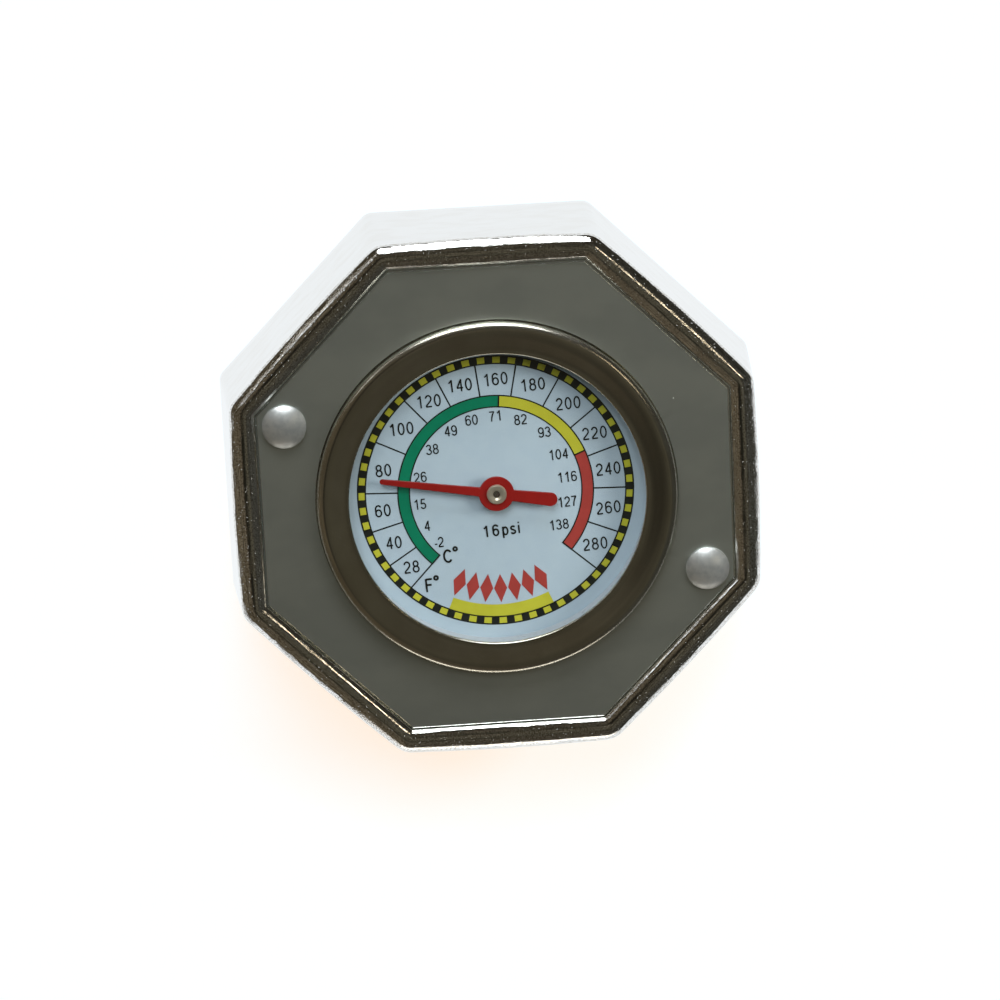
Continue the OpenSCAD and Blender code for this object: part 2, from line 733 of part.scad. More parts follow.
// Six-sided nut with chamfered corners.
module stem_nut() {
    corner = nut_flats / 2 / cos(30);
    chamfer = 0.5;
    color([0.72, 0.72, 0.7])
    difference() {
        intersection() {
            translate([0, 0, z_nut]) cylinder(r = corner, h = nut_t, $fn = 6);
            rotate_extrude()
                polygon([[0, z_nut], [nut_flats / 2, z_nut], [corner + eps, z_nut + chamfer],
                         [corner + eps, z_lock - chamfer], [nut_flats / 2, z_lock], [0, z_lock]]);
        }
        translate([0, 0, z_nut - over]) cylinder(r = shank_hole_r, h = nut_t + 2 * over);
    }
}

// Outline of one wing. The shrink sets it in by the sheet's thickness.
module wing_outline(shrink) {
    root_x = skirt_in_r - over;
    translate([rivet_circle_r, 0]) circle(r = wing_r - shrink);
    polygon([[root_x, wing_root - shrink], [rivet_circle_r, wing_r - shrink],
             [rivet_circle_r, shrink - wing_r], [root_x, shrink - wing_root]]);
}

// Both wings, from level z up by h.
module wings(shrink, z, h) {
    for (half = [0:1])
        translate([0, 0, z])
            rotate([0, 0, rivet_az + 180 * half])
            linear_extrude(height = h)
            wing_outline(shrink);
}

// Cam ear that is folded in from the skirt's hem. It starts a little before its slot.
module cam_ear() {
    sink = 0.2;
    bend_r = ear_bend + shell_t;
    x = skirt_r - bend_r;
    z = z_skirt + bend_r;
    profile = concat(arc(x, z, bend_r, 0, -90, 5), [[ear_in_r, z_skirt], [ear_in_r, z_skirt + shell_t]],
        arc(x, z, ear_bend, -90, 0, 4));
    rotate([0, 0, -ear_arc / 2 - sink])
        rotate_extrude(angle = ear_arc + 2 * sink)
        polygon(profile);
}

// Plated bayonet shell: round skirt, two hollow wings and two cam ears.
module cap_shell() {
    s = shell_shoulder_r;
    tight_r = 0.4;
    inner = max(s - shell_t, tight_r);
    bend_h = ear_bend + shell_t;
    outside = concat([[0, z_skirt], [skirt_r, z_skirt]],
        arc(skirt_r - s, z_shell_top - s, s, 0, 90, 6), [[0, z_shell_top]]);
    inside = concat([[0, z_skirt - over], [skirt_in_r, z_skirt - over]],
        arc(skirt_in_r - inner, z_shell - inner, inner, 0, 90, 4), [[0, z_shell]]);
    color([0.78, 0.76, 0.66])
    difference() {
        union() {
            difference() {
                union() {
                    rotate_extrude() polygon(outside);
                    wings(0, z_wing, wing_h);
                }
                rotate_extrude() polygon(inside);
                wings(shell_t, z_wing - eps, z_shell - z_wing + eps);
                for (half = [0:1])
                    rotate([0, 0, ear_az - ear_arc / 2 + 180 * half])
                        rotate_extrude(angle = ear_arc)
                        translate([skirt_in_r - over, z_skirt - over])
                        square([shell_t + 2 * over, bend_h + over]);
            }
            for (half = [0:1])
                rotate([0, 0, ear_az + 180 * half]) cam_ear();
        }
        translate([0, 0, z_shell - over]) cylinder(r = shank_hole_r, h = shell_t + 2 * over);
        at_rivets()
            translate([0, 0, z_shell - over])
            cylinder(r = rivet_hole_r, h = shell_t + 2 * over);
    }
}

// Dished spring disc that seals on the filler neck.
module diaphragm_disc() {
    land = 0.8;
    steps = 6;
    flat_r = spring_r + spring_wire / 2 + land;
    rim_r = diaphragm_r - diaphragm_rim;
    low = z_diaphragm - diaphragm_fall;
    slope = [for (i = [0:steps]) let (t = i / steps)
        [flat_r + (rim_r - flat_r) * t, z_diaphragm - diaphragm_fall * (1 - cos(180 * t)) / 2]];
    profile = concat([[shank_hole_r, z_diaphragm]], slope, [[diaphragm_r, low]],
        [[diaphragm_r, low + diaphragm_t]],
        [for (i = [steps:-1:0]) [slope[i][0], slope[i][1] + diaphragm_t]], [[shank_hole_r, z_shell]]);
    color([0.82, 0.8, 0.72])
    rotate_extrude() polygon(profile);
}

// Cup that hangs under the shell and retains the valve on its turned-in lip.
module spring_bell() {
    s = 1.2;
    edge = 0.5;
    lift = 0.8;
    lip_in_r = neck_r + neck_fit;
    z_window = z_neck_flange + valve_t + lift;
    profile = concat(
        [[shank_hole_r, z_bell_under], [bell_in_r, z_bell_under], [bell_in_r, z_neck_flange],
         [lip_in_r, z_neck_flange], [lip_in_r, z_bell], [bell_r - edge, z_bell],
         [bell_r, z_bell + edge]],
        arc(bell_r - s, z_bell_top - s, s, 0, 90, 4),
        [[shank_hole_r, z_bell_top]]);
    color([0.72, 0.73, 0.74])
    difference() {
        rotate_extrude() polygon(profile);
        for (k = [0:3])
            rotate([0, 0, 90 * k])
                translate([neck_r, -bell_window_w / 2, z_window])
                cube([bell_r, bell_window_w, bell_window_h]);
    }
}

spring_line = coil_line(spring_r, spring_wire, z_spring + face_gap, spring_h - 2 * face_gap,
    spring_turns, heavy_lead);
echo(str("pressure_spring least gap mm: ", coil_gap(spring_line, spring_wire)));

// Spring that sets the opening pressure.
module pressure_spring() {
    color([0.7, 0.71, 0.72])
    coil(spring_line, spring_wire);
}

// Pressure valve: lipped plate and a neck with a retaining flange.
module valve_plate() {
    edge = 0.3;
    lip_r = gasket_r + hole_fit;
    profile = [
        [seat_hole_r, z_valve], [lip_r, z_valve], [lip_r, z_valve - valve_lip_h],
        [lip_r + valve_t, z_valve - valve_lip_h], [lip_r + valve_t, z_spring - edge],
        [lip_r + valve_t - edge, z_spring], [neck_r, z_spring], [neck_r, z_neck_flange],
        [neck_flange_r, z_neck_flange], [neck_flange_r, z_neck_flange + valve_t],
        [neck_in_r, z_neck_flange + valve_t], [neck_in_r, z_spring], [seat_hole_r, z_spring]
    ];
    color([0.76, 0.74, 0.66])
    rotate_extrude() polygon(profile);
}

// Rubber seat ring with a recess for the vacuum valve.
module valve_gasket() {
    step = 0.5;
    draft = 0.3;
    edge = 0.5;
    hole = seat_hole_r + step;
    profile = [
        [hole, gasket_recess], [gasket_recess_r, gasket_recess],
        [gasket_recess_r + draft, 0], [gasket_r - edge, 0], [gasket_r, edge],
        [gasket_r, z_valve], [hole, z_valve]
    ];
    color([0.12, 0.12, 0.12])
    rotate_extrude() polygon(profile);
}

// Vacuum valve: disc and hub tube that slides on the probe.
module vacuum_valve() {
    edge = 0.3;
    profile = [
        [vacuum_hub_in_r, z_vacuum], [vacuum_r - edge, z_vacuum], [vacuum_r, z_vacuum + edge],
        [vacuum_r, z_vacuum + vacuum_t], [vacuum_hub_r, z_vacuum + vacuum_t],
        [vacuum_hub_r, z_clip], [clip_groove_r, z_clip], [clip_groove_r, z_clip + clip_t],
        [vacuum_hub_r, z_clip + clip_t], [vacuum_hub_r, vacuum_hub_top],
        [vacuum_hub_in_r, vacuum_hub_top]
    ];
    color([0.8, 0.66, 0.35])
    rotate_extrude() polygon(profile);
}

vacuum_line = coil_line(vacuum_spring_r, vacuum_wire, z_spring + face_gap,
    vacuum_spring_h - 2 * face_gap, vacuum_turns, fine_lead);
echo(str("vacuum_spring least gap mm: ", coil_gap(vacuum_line, vacuum_wire)));

// Light spring that holds the vacuum valve shut.
module vacuum_spring() {
    color([0.72, 0.72, 0.74])
    coil(vacuum_line, vacuum_wire);
}

// Open clip in the hub's groove.
module vacuum_clip() {
    slot = 2.4;
    proud = 0.1;
    color([0.65, 0.65, 0.68])
    difference() {
        ring(clip_groove_r, vacuum_spring_r + vacuum_wire / 2 + proud, z_clip, clip_t);
        translate([0, -slot / 2, z_clip - over]) cube([2 * vacuum_spring_r, slot, clip_t + 2 * over]);
    }
}

housing();
face_plate();
rivets();
dial_bezel();
lens();
lens_gasket();
dial_ring();
dial_plate();
gauge_case();
stem_fitting();
probe_tube();
upper_bearing();
lower_guide();
coil_anchor();
bimetal_coil();
shaft_collar();
pointer_shaft();
pointer();
pointer_hub();
sealing_washer();
lock_washer();
stem_nut();
cap_shell();
diaphragm_disc();
spring_bell();
pressure_spring();
valve_plate();
valve_gasket();
vacuum_valve();
vacuum_spring();
vacuum_clip();
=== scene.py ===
"""Look of a radiator filler cap with a dial thermometer in its face.

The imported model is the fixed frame. Each class below dresses one sub-assembly of the cap:
it keeps its sizes as fields in millimetres, builds the meshes that need a finer form than
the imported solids, and gives every piece its finish. The dial's top points along +Y.
"""

import json
import logging
import math
from dataclasses import dataclass, field
from enum import Enum
from typing import ClassVar, Optional, Sequence, Union

import bmesh
import bpy
from mathutils import Matrix, Vector, noise


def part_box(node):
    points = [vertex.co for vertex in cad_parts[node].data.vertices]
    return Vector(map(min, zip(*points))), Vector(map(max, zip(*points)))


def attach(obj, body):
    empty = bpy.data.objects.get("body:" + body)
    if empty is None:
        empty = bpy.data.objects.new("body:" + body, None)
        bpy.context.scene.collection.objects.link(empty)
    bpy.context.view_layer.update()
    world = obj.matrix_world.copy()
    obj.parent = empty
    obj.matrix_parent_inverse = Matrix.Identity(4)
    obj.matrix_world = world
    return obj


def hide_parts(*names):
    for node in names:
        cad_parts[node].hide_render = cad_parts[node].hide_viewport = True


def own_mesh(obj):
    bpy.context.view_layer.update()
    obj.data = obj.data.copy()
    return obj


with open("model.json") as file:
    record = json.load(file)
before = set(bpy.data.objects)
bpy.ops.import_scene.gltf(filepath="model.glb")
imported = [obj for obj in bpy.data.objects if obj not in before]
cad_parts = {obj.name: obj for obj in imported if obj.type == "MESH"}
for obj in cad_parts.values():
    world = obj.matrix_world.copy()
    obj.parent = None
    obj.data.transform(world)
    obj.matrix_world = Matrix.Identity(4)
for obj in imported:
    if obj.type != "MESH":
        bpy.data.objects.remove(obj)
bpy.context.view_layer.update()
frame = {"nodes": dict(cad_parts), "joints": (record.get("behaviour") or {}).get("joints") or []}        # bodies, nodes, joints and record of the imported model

MM = 0.001
LOG = logging.getLogger("radiator_cap_gauge")

Flat = tuple[float, float]
Point = tuple[float, float, float]
Ring = list[Point]
Colour = tuple[float, float, float]

SIDES = 8
FLAT_TURNS = [2 * math.pi * k / SIDES for k in range(SIDES // 2)]        # ways that opposite flats face
NO_LENGTH = 1e-6        # millimetres below which two points are one
MITRE_LIMIT = 0.6       # cosine below which a stroke's corner gets no wider


class Body(Enum):
    """The bodies that new pieces ride on."""

    CAP = "cap"
    NEEDLE = "needle"
    PRESSURE = "pressure_valve"


class Slot(Enum):
    """The record's material slots."""

    CHROME = "chrome_cast"
    FACE = "face_steel"
    RIVET = "rivet_metal"
    BEZEL = "bezel_metal"
    GLASS = "glass"
    RUBBER = "black_rubber"
    SEAT = "seat_rubber"
    WALL = "bright_ring"
    PRINT = "dial_print"
    CASE = "case_steel"
    BRASS = "brass"
    PROBE = "probe_steel"
    BIMETAL = "bimetal"
    RED = "pointer_red"
    PIN = "pin_metal"
    ZINC = "zinc_steel"
    SPRING = "spring_steel"


@dataclass(frozen=True)
class Span:
    """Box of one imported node, in millimetres."""

    low: Vector
    high: Vector

    @classmethod
    def of(cls, node: str) -> "Span":
        """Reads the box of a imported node."""
        low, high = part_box(node)
        return cls(low / MM, high / MM)

    @property
    def reach(self) -> float:
        """Half of the box's width along X."""
        return (self.high.x - self.low.x) / 2


# Shader trees

class Link:
    """One output of a shader node. Arithmetic on it adds Math nodes."""

    def __init__(self, tree: "Tree", socket: bpy.types.NodeSocket) -> None:
        """Wraps a socket of a tree."""
        self.tree = tree
        self.socket = socket

    def _math(self, operation: str, first: "Value", second: "Value" = 0.0) -> "Link":
        """Adds a Math node."""
        return self.tree.node("ShaderNodeMath", {"operation": operation}, {0: first, 1: second})

    def __add__(self, other: "Value") -> "Link":
        """Sum."""
        return self._math("ADD", self, other)

    __radd__ = __add__

    def __sub__(self, other: "Value") -> "Link":
        """Difference."""
        return self._math("SUBTRACT", self, other)

    def __rsub__(self, other: "Value") -> "Link":
        """Difference with this link taken away."""
        return self._math("SUBTRACT", other, self)

    def __mul__(self, other: "Value") -> "Link":
        """Product."""
        return self._math("MULTIPLY", self, other)

    __rmul__ = __mul__

    def __abs__(self) -> "Link":
        """Size without its sign."""
        return self._math("ABSOLUTE", self)

    def greater(self, other: "Value") -> "Link":
        """The greater of two values."""
        return self._math("MAXIMUM", self, other)

    def between(self, low: float, high: float) -> "Link":
        """Rises smoothly from 0 at low to 1 at high."""
        values = {"Value": self, "From Min": low, "From Max": high}
        return self.tree.node("ShaderNodeMapRange", {"interpolation_type": "SMOOTHSTEP"}, values)


Value = Union[Link, float, tuple]


class Tree:
    """Node tree of a material or the world."""

    def __init__(self, owner: Union[bpy.types.Material, bpy.types.World]) -> None:
        """Empties the owner's tree.

        Args:
            owner: the material or world that has the tree.
        """
        owner.use_nodes = True
        self.nodes = owner.node_tree.nodes
        self.links = owner.node_tree.links
        self.nodes.clear()

    def node(self, kind: str, settings: dict, values: dict, output: Union[int, str] = 0) -> Link:
        """Adds a node.

        Args:
            kind: Blender's name of the node's type.
            settings: the node's properties, set first.
            values: numbers, colours or links of its sockets, by name or index.
            output: the output that is returned.

        Returns:
            The chosen output.
        """
        node = self.nodes.new(kind)
        for name, value in settings.items():
            setattr(node, name, value)
        for key, value in values.items():
            socket = node.inputs[key]
            if isinstance(value, Link):
                self.links.new(value.socket, socket)
            else:
                socket.default_value = (*value, 1.0) if socket.type == "RGBA" else value
        return Link(self, node.outputs[output] if len(node.outputs) else None)

    def vector(self, operation: str, values: dict, output: Union[int, str] = 0) -> Link:
        """Adds a Vector Math node."""
        return self.node("ShaderNodeVectorMath", {"operation": operation}, values, output)

    def axis(self, vector: Link, index: int) -> Link:
        """One part of a vector."""
        return self.node("ShaderNodeSeparateXYZ", {}, {0: vector}, index)

    def where(self) -> Link:
        """Place on the piece, in metres."""
        return self.node("ShaderNodeTexCoord", {}, {}, "Object")

    def scaled(self, vector: Link, sizes: Point) -> Link:
        """Divides a vector by sizes given in millimetres."""
        return self.vector("MULTIPLY", {0: vector, 1: tuple(1 / (size * MM) for size in sizes)})

    def grain(self, size: Union[float, Point], detail: float = 2.0) -> Link:
        """Noise from about 0.3 to 0.7.

        Args:
            size: size of one blotch in millimetres, one number or one for each axis.
            detail: number of finer layers.

        Returns:
            The noise's value.
        """
        place = self.scaled(self.where(), size if isinstance(size, tuple) else (size,) * 3)
        return self.node("ShaderNodeTexNoise", {}, {"Vector": place, "Scale": 1.0, "Detail": detail})

    def specks(self, spacing: float, size: float, core: float = 0.5) -> Link:
        """Scattered round specks, 1 inside and 0 outside.

        Args:
            spacing: mean distance between specks in millimetres.
            size: their radius in millimetres.
            core: share of the radius that is fully covered.

        Returns:
            The mask.
        """
        place = self.scaled(self.where(), (spacing,) * 3)
        far = self.node("ShaderNodeTexVoronoi", {}, {"Vector": place, "Scale": 1.0}, "Distance")
        return 1 - far.between(core * size / spacing, size / spacing)

    def blend(self, share: Value, low: Value, high: Value) -> Link:
        """Mixes two colours.

        Args:
            share: share of the second colour.
            low: the colour at share 0.
            high: the colour at share 1.

        Returns:
            The mixed colour.
        """
        share_in, low_in, high_in, colour_out = 0, 6, 7, 2        # the Mix node's sockets for colours
        values = {share_in: share, low_in: low, high_in: high}
        return self.node("ShaderNodeMix", {"data_type": "RGBA"}, values, colour_out)

    def pick(self, share: Link, low: Link, high: Link) -> Link:
        """Mixes two shaders by a share."""
        return self.node("ShaderNodeMixShader", {}, {0: share, 1: low, 2: high})

    def bump(self, height: Link, depth: float, over: Optional[Link] = None) -> Link:
        """Bends the normal by a height.

        Args:
            height: height from 0 to 1.
            depth: depth of height 1 in millimetres.
            over: a normal to add to.

        Returns:
            The new normal.
        """
        values = {"Height": height, "Distance": depth * MM, "Strength": 1.0}
        if over is not None:
            values["Normal"] = over
        return self.node("ShaderNodeBump", {}, values)

    def surface(self, shader: Link) -> None:
        """Joins a shader to the tree's output."""
        self.node("ShaderNodeOutputMaterial", {}, {"Surface": shader})

    def principled(self, values: dict) -> None:
        """Ends a material in the principled shader."""
        self.surface(self.node("ShaderNodeBsdfPrincipled", {}, values))


# Finishes

@dataclass(frozen=True)
class Finish:
    """A finish that makes its material once."""

    name: str
    slot: Slot
    made: ClassVar[dict[str, bpy.types.Material]] = {}

    def material(self) -> bpy.types.Material:
        """Makes the finish's material on its first use.

        Returns:
            The material.
        """
        if self.name not in self.made:
            material = bpy.data.materials.new(self.name)
            self.shade(Tree(material))
            self.made[self.name] = material
        return self.made[self.name]

    def shade(self, tree: Tree) -> None:
        """Builds the shader."""
        raise NotImplementedError


@dataclass(frozen=True)
class CastChrome(Finish):
    """Bright plating over a die casting: soft waves, flow streaks and fine pits."""

    colour: Colour = (0.89, 0.89, 0.88)
    shade_colour: Colour = (0.86, 0.85, 0.83)
    pore_colour: Colour = (0.55, 0.52, 0.47)
    roughness: float = 0.03
    wave: float = 3.2
    wave_depth: float = 0.006
    pit: float = 0.20
    pit_depth: float = 0.028
    pore: float = 0.08
    pore_gap: float = 0.55
    pore_depth: float = 0.030
    streak: float = 0.24
    streak_length: float = 2.4
    streak_depth: float = 0.009
    patch: Point = (4.0, 4.0, 2.0)
    patch_from: Flat = (0.36, 0.60)
    shade_from: Flat = (0.35, 0.75)
    pore_from: Flat = (0.46, 0.62)
    pore_pit_share: float = 0.75
    pore_roughness: float = 0.12
    rough_from: Flat = (31.7 * MM, 32.2 * MM)

    def shade(self, tree: Tree) -> None:
        """Builds the shader.

        Args:
            tree: the material's empty tree.
        """
        place = tree.where()
        rough = tree.axis(place, 2).between(*self.rough_from)
        wave = tree.grain(self.wave, detail=1.0)
        pit = tree.grain(self.pit)
        patch = tree.grain(self.patch)
        along = tree.scaled(place, (self.streak_length, self.streak_length, self.streak))
        across = self._reach(tree, place) * (1 / (self.streak * MM))
        lines = tree.node("ShaderNodeTexNoise", {"noise_dimensions": "4D"},
                          {"Vector": along, "W": across, "Scale": 1.0, "Detail": 2.0})
        normal = tree.bump(wave, self.wave_depth)
        normal = tree.bump(lines * rough, self.streak_depth, normal)
        normal = tree.bump(pit * patch.between(*self.patch_from) * rough, self.pit_depth, normal)
        holes = tree.specks(self.pore_gap, self.pore) * rough
        normal = tree.bump(1 - holes, self.pore_depth, normal)
        plating = tree.blend(patch.between(*self.shade_from), self.colour, self.shade_colour)
        mixed = lines * (1 - self.pore_pit_share) + pit * self.pore_pit_share
        pores = mixed.between(*self.pore_from) * rough
        tree.principled({
            "Base Color": tree.blend(pores, plating, self.pore_colour),
            "Metallic": 1.0,
            "Roughness": self.roughness + pores * self.pore_roughness,
            "Normal": normal,
        })

    @staticmethod
    def _reach(tree: Tree, place: Link) -> Link:
        """Distance from the axis to the octagon's side through a place.

        Args:
            tree: the material's tree.
            place: the place on the piece.

        Returns:
            The distance, in metres.
        """
        offs: list[Link] = []
        for turn in FLAT_TURNS:
            side = (math.cos(turn), math.sin(turn), 0.0)
            offs.append(abs(tree.vector("DOT_PRODUCT", {0: place, 1: side}, "Value")))
        farthest = offs[0]
        for off in offs[1:]:
            farthest = farthest.greater(off)
        return farthest


@dataclass(frozen=True)
class SatinSheet(Finish):
    """Satin sheet metal with fine grain, faint stains and specks of dust."""

    colour: Colour = (0.65, 0.69, 0.64)
    stain: Colour = (0.58, 0.62, 0.58)
    dust: Colour = (0.86, 0.86, 0.80)
    roughness: float = 0.36
    edge_roughness: float = 0.05
    matte: float = 0.05
    face_from: Flat = (32.47 * MM, 32.49 * MM)
    grain: Point = (9.0, 0.09, 0.09)
    grain_depth: float = 0.0016
    cloud: Point = (14.0, 9.0, 9.0)
    stain_from: Flat = (0.35, 0.65)
    unevenness: float = 0.06
    speck_gap: float = 6.5
    speck: float = 0.11
    speck_cover: float = 0.6
    speck_matte: float = 0.5
    speck_roughness: float = 0.3

    def shade(self, tree: Tree) -> None:
        """Builds the shader.

        Args:
            tree: the material's empty tree.
        """
        flat = tree.axis(tree.where(), 2).between(*self.face_from)
        grain = tree.grain(self.grain, detail=3.0)
        cloud = tree.grain(self.cloud, detail=3.0)
        specks = tree.specks(self.speck_gap, self.speck)
        ground = tree.blend(cloud.between(*self.stain_from), self.colour, self.stain)
        satin = self.roughness + (grain + cloud) * self.unevenness + specks * self.speck_roughness
        tree.principled({
            "Base Color": tree.blend(specks * self.speck_cover, ground, self.dust),
            "Metallic": 1.0 - self.matte - specks * self.speck_matte,
            "Roughness": self.edge_roughness + flat * (satin - self.edge_roughness),
            "Normal": tree.bump(grain, self.grain_depth),
        })


@dataclass(frozen=True)
class SpunMetal(Finish):
    """Metal with fine rings from turning or spinning about the cap's axis."""

    colour: Colour = (0.62, 0.58, 0.50)
    stain: Colour = (0.50, 0.46, 0.39)
    roughness: float = 0.14
    matte: float = 0.0
    groove: float = 0.10
    groove_depth: float = 0.0012
    cloud: Point = (6.0, 6.0, 3.0)
    stain_from: Flat = (0.3, 0.7)
    unevenness: float = 0.08

    def shade(self, tree: Tree) -> None:
        """Builds the shader.

        Args:
            tree: the material's empty tree.
        """
        place = tree.where()
        radius = tree.vector("LENGTH", {0: tree.vector("MULTIPLY", {0: place, 1: (1, 1, 0)})}, "Value")
        step = 1 / (self.groove * MM)
        across = tree.node("ShaderNodeCombineXYZ", {}, {0: radius * step, 1: tree.axis(place, 2) * step})
        rings = tree.node("ShaderNodeTexNoise", {}, {"Vector": across, "Scale": 1.0, "Detail": 2.0})
        cloud = tree.grain(self.cloud, detail=3.0)
        tree.principled({
            "Base Color": tree.blend(cloud.between(*self.stain_from), self.colour, self.stain),
            "Metallic": 1.0 - self.matte,
            "Roughness": self.roughness + (rings + cloud) * self.unevenness,
            "Normal": tree.bump(rings, self.groove_depth),
        })


@dataclass(frozen=True)
class TumbledMetal(Finish):
    """Satin or plated metal with soft dents and mottled plating."""

    colour: Colour = (0.74, 0.76, 0.75)
    stain: Colour = (0.62, 0.65, 0.65)
    roughness: float = 0.36
    matte: float = 0.0
    dent: float = 1.0
    dent_depth: float = 0.02
    mottle: float = 1.6
    stain_from: Flat = (0.35, 0.68)
    unevenness: float = 0.12
    fine: float = 0.12
    fine_share: float = 0.08

    def shade(self, tree: Tree) -> None:
        """Builds the shader.

        Args:
            tree: the material's empty tree.
        """
        mottle = tree.grain(self.mottle, detail=4.0)
        normal = tree.bump(tree.grain(self.dent), self.dent_depth)
        tree.principled({
            "Base Color": tree.blend(mottle.between(*self.stain_from), self.colour, self.stain),
            "Metallic": 1.0 - self.matte,
            "Roughness": self.roughness + mottle * self.unevenness,
            "Normal": tree.bump(tree.grain(self.fine), self.dent_depth * self.fine_share, normal),
        })


@dataclass(frozen=True)
class Rubber(Finish):
    """Moulded rubber with a fine skin and a trace of bloom."""

    colour: Colour = (0.018, 0.018, 0.017)
    bloom: Colour = (0.055, 0.053, 0.050)
    roughness: float = 0.50
    skin: float = 0.22
    skin_depth: float = 0.012
    bloom_size: float = 4.0
    bloom_from: Flat = (0.5, 0.75)
    unevenness: float = 0.2
    gloss: float = 0.4

    def shade(self, tree: Tree) -> None:
        """Builds the shader.

        Args:
            tree: the material's empty tree.
        """
        skin = tree.grain(self.skin, detail=3.0)
        bloom = tree.grain(self.bloom_size, detail=4.0)
        tree.principled({
            "Base Color": tree.blend(bloom.between(*self.bloom_from), self.colour, self.bloom),
            "Roughness": self.roughness + skin * self.unevenness,
            "Specular IOR Level": self.gloss,
            "Normal": tree.bump(skin, self.skin_depth),
        })


@dataclass(frozen=True)
class Paint(Finish):
    """Printing ink or paint with a slightly uneven gloss."""

    colour: Colour = (0.6, 0.02, 0.02)
    thin: Colour = (0.5, 0.02, 0.02)
    roughness: float = 0.35
    skin: float = 0.5
    skin_depth: float = 0.002
    tone_scale: float = 4.0
    thin_from: Flat = (0.35, 0.7)
    unevenness: float = 0.15
    gloss: float = 0.35

    def shade(self, tree: Tree) -> None:
        """Builds the shader.

        Args:
            tree: the material's empty tree.
        """
        skin = tree.grain(self.skin, detail=3.0)
        tone = tree.grain(self.skin * self.tone_scale, detail=3.0)
        tree.principled({
            "Base Color": tree.blend(tone.between(*self.thin_from), self.colour, self.thin),
            "Roughness": self.roughness + skin * self.unevenness,
            "Specular IOR Level": self.gloss,
            "Normal": tree.bump(skin, self.skin_depth),
        })


@dataclass(frozen=True)
class WindowGlass(Finish):
    """Thin clear window: the mirror part of glass over a see-through pane.

    The inner sides mirror a fixed small share, because rays aren't bent on their way in.
    """

    tint: Colour = (0.94, 0.97, 1.0)
    index: float = 1.45
    inner_mirror: float = 0.034
    polish: float = 0.02
    haze: float = 7.0
    haze_from: Flat = (0.5, 0.9)
    haze_roughness: float = 0.06

    def shade(self, tree: Tree) -> None:
        """Builds the shader.

        Args:
            tree: the material's empty tree.
        """
        haze = tree.grain(self.haze, detail=4.0)
        outer = tree.node("ShaderNodeFresnel", {}, {"IOR": self.index})
        inside = tree.node("ShaderNodeNewGeometry", {}, {}, "Backfacing")
        mirror = outer * (1 - inside) + inside * self.inner_mirror
        tree.principled({
            "Base Color": self.tint,
            "Metallic": 1.0,
            "Roughness": self.polish + haze.between(*self.haze_from) * self.haze_roughness,
            "Alpha": mirror,
        })


CHROME = CastChrome("cast_chrome", Slot.CHROME)
FACE = SatinSheet("satin_face", Slot.FACE)
RIVET = TumbledMetal("rivet_satin", Slot.RIVET, roughness=0.34, matte=0.12, mottle=0.9)
BEZEL = SpunMetal("spun_bezel", Slot.BEZEL, colour=(0.68, 0.66, 0.58), stain=(0.60, 0.57, 0.48))
GLASS = WindowGlass("window_glass", Slot.GLASS)
SEAL = Rubber("seal_rubber", Slot.RUBBER)
SEAT = Rubber("seat_rubber", Slot.SEAT, colour=(0.022, 0.021, 0.020), roughness=0.42)
WALL = Paint("wall_enamel", Slot.WALL, roughness=0.22,
             colour=(0.372, 0.402, 0.431), thin=(0.343, 0.377, 0.412))
DIAL = Paint("dial_enamel", Slot.PRINT, roughness=0.30,
             colour=(0.323, 0.403, 0.455), thin=(0.309, 0.388, 0.445))
BLACK = Paint("ink_black", Slot.PRINT, colour=(0.006, 0.007, 0.005), thin=(0.010, 0.011, 0.009))
GREEN = Paint("ink_green", Slot.PRINT, colour=(0.001, 0.144, 0.072), thin=(0.001, 0.130, 0.067))
YELLOW = Paint("ink_yellow", Slot.PRINT, colour=(0.375, 0.375, 0.031), thin=(0.355, 0.350, 0.027))
RED = Paint("ink_red", Slot.PRINT, colour=(0.278, 0.037, 0.031), thin=(0.255, 0.034, 0.028))
NEEDLE = Paint("needle_red", Slot.RED, roughness=0.28, skin=0.9, skin_depth=0.006,
               colour=(0.195, 0.007, 0.006), thin=(0.175, 0.006, 0.005))
CASE = SpunMetal("drawn_case", Slot.CASE, roughness=0.26,
                 colour=(0.60, 0.61, 0.62), stain=(0.50, 0.51, 0.52))
BRASS = SpunMetal("turned_brass", Slot.BRASS, roughness=0.20,
                  colour=(0.80, 0.60, 0.27), stain=(0.66, 0.46, 0.20))
PROBE = SpunMetal("turned_steel", Slot.PROBE, roughness=0.18,
                  colour=(0.70, 0.71, 0.72), stain=(0.60, 0.60, 0.61))
BIMETAL = SpunMetal("bimetal_strip", Slot.BIMETAL, roughness=0.30,
                    colour=(0.66, 0.50, 0.30), stain=(0.50, 0.44, 0.36))
PIN = SpunMetal("pin_nickel", Slot.PIN, roughness=0.24, matte=0.18,
                colour=(0.70, 0.64, 0.50), stain=(0.58, 0.53, 0.42))
ZINC = TumbledMetal("zinc_plate", Slot.ZINC, roughness=0.20, dent=3.0, dent_depth=0.012, mottle=2.4,
                    colour=(0.80, 0.76, 0.64), stain=(0.68, 0.66, 0.58))
SPRING = TumbledMetal("spring_wire", Slot.SPRING, roughness=0.22, dent=0.8, dent_depth=0.006, mottle=1.2,
                      colour=(0.66, 0.65, 0.60), stain=(0.52, 0.50, 0.46))


# Mesh tools

def oval(centre: Flat, reach: Flat, start: float, end: float, steps: int = 12) -> list[Flat]:
    """Points along part of an ellipse, its angles in degrees."""
    turns = [math.radians(start + (end - start) * i / steps) for i in range(steps + 1)]
    return [(centre[0] + reach[0] * math.cos(t), centre[1] + reach[1] * math.sin(t)) for t in turns]


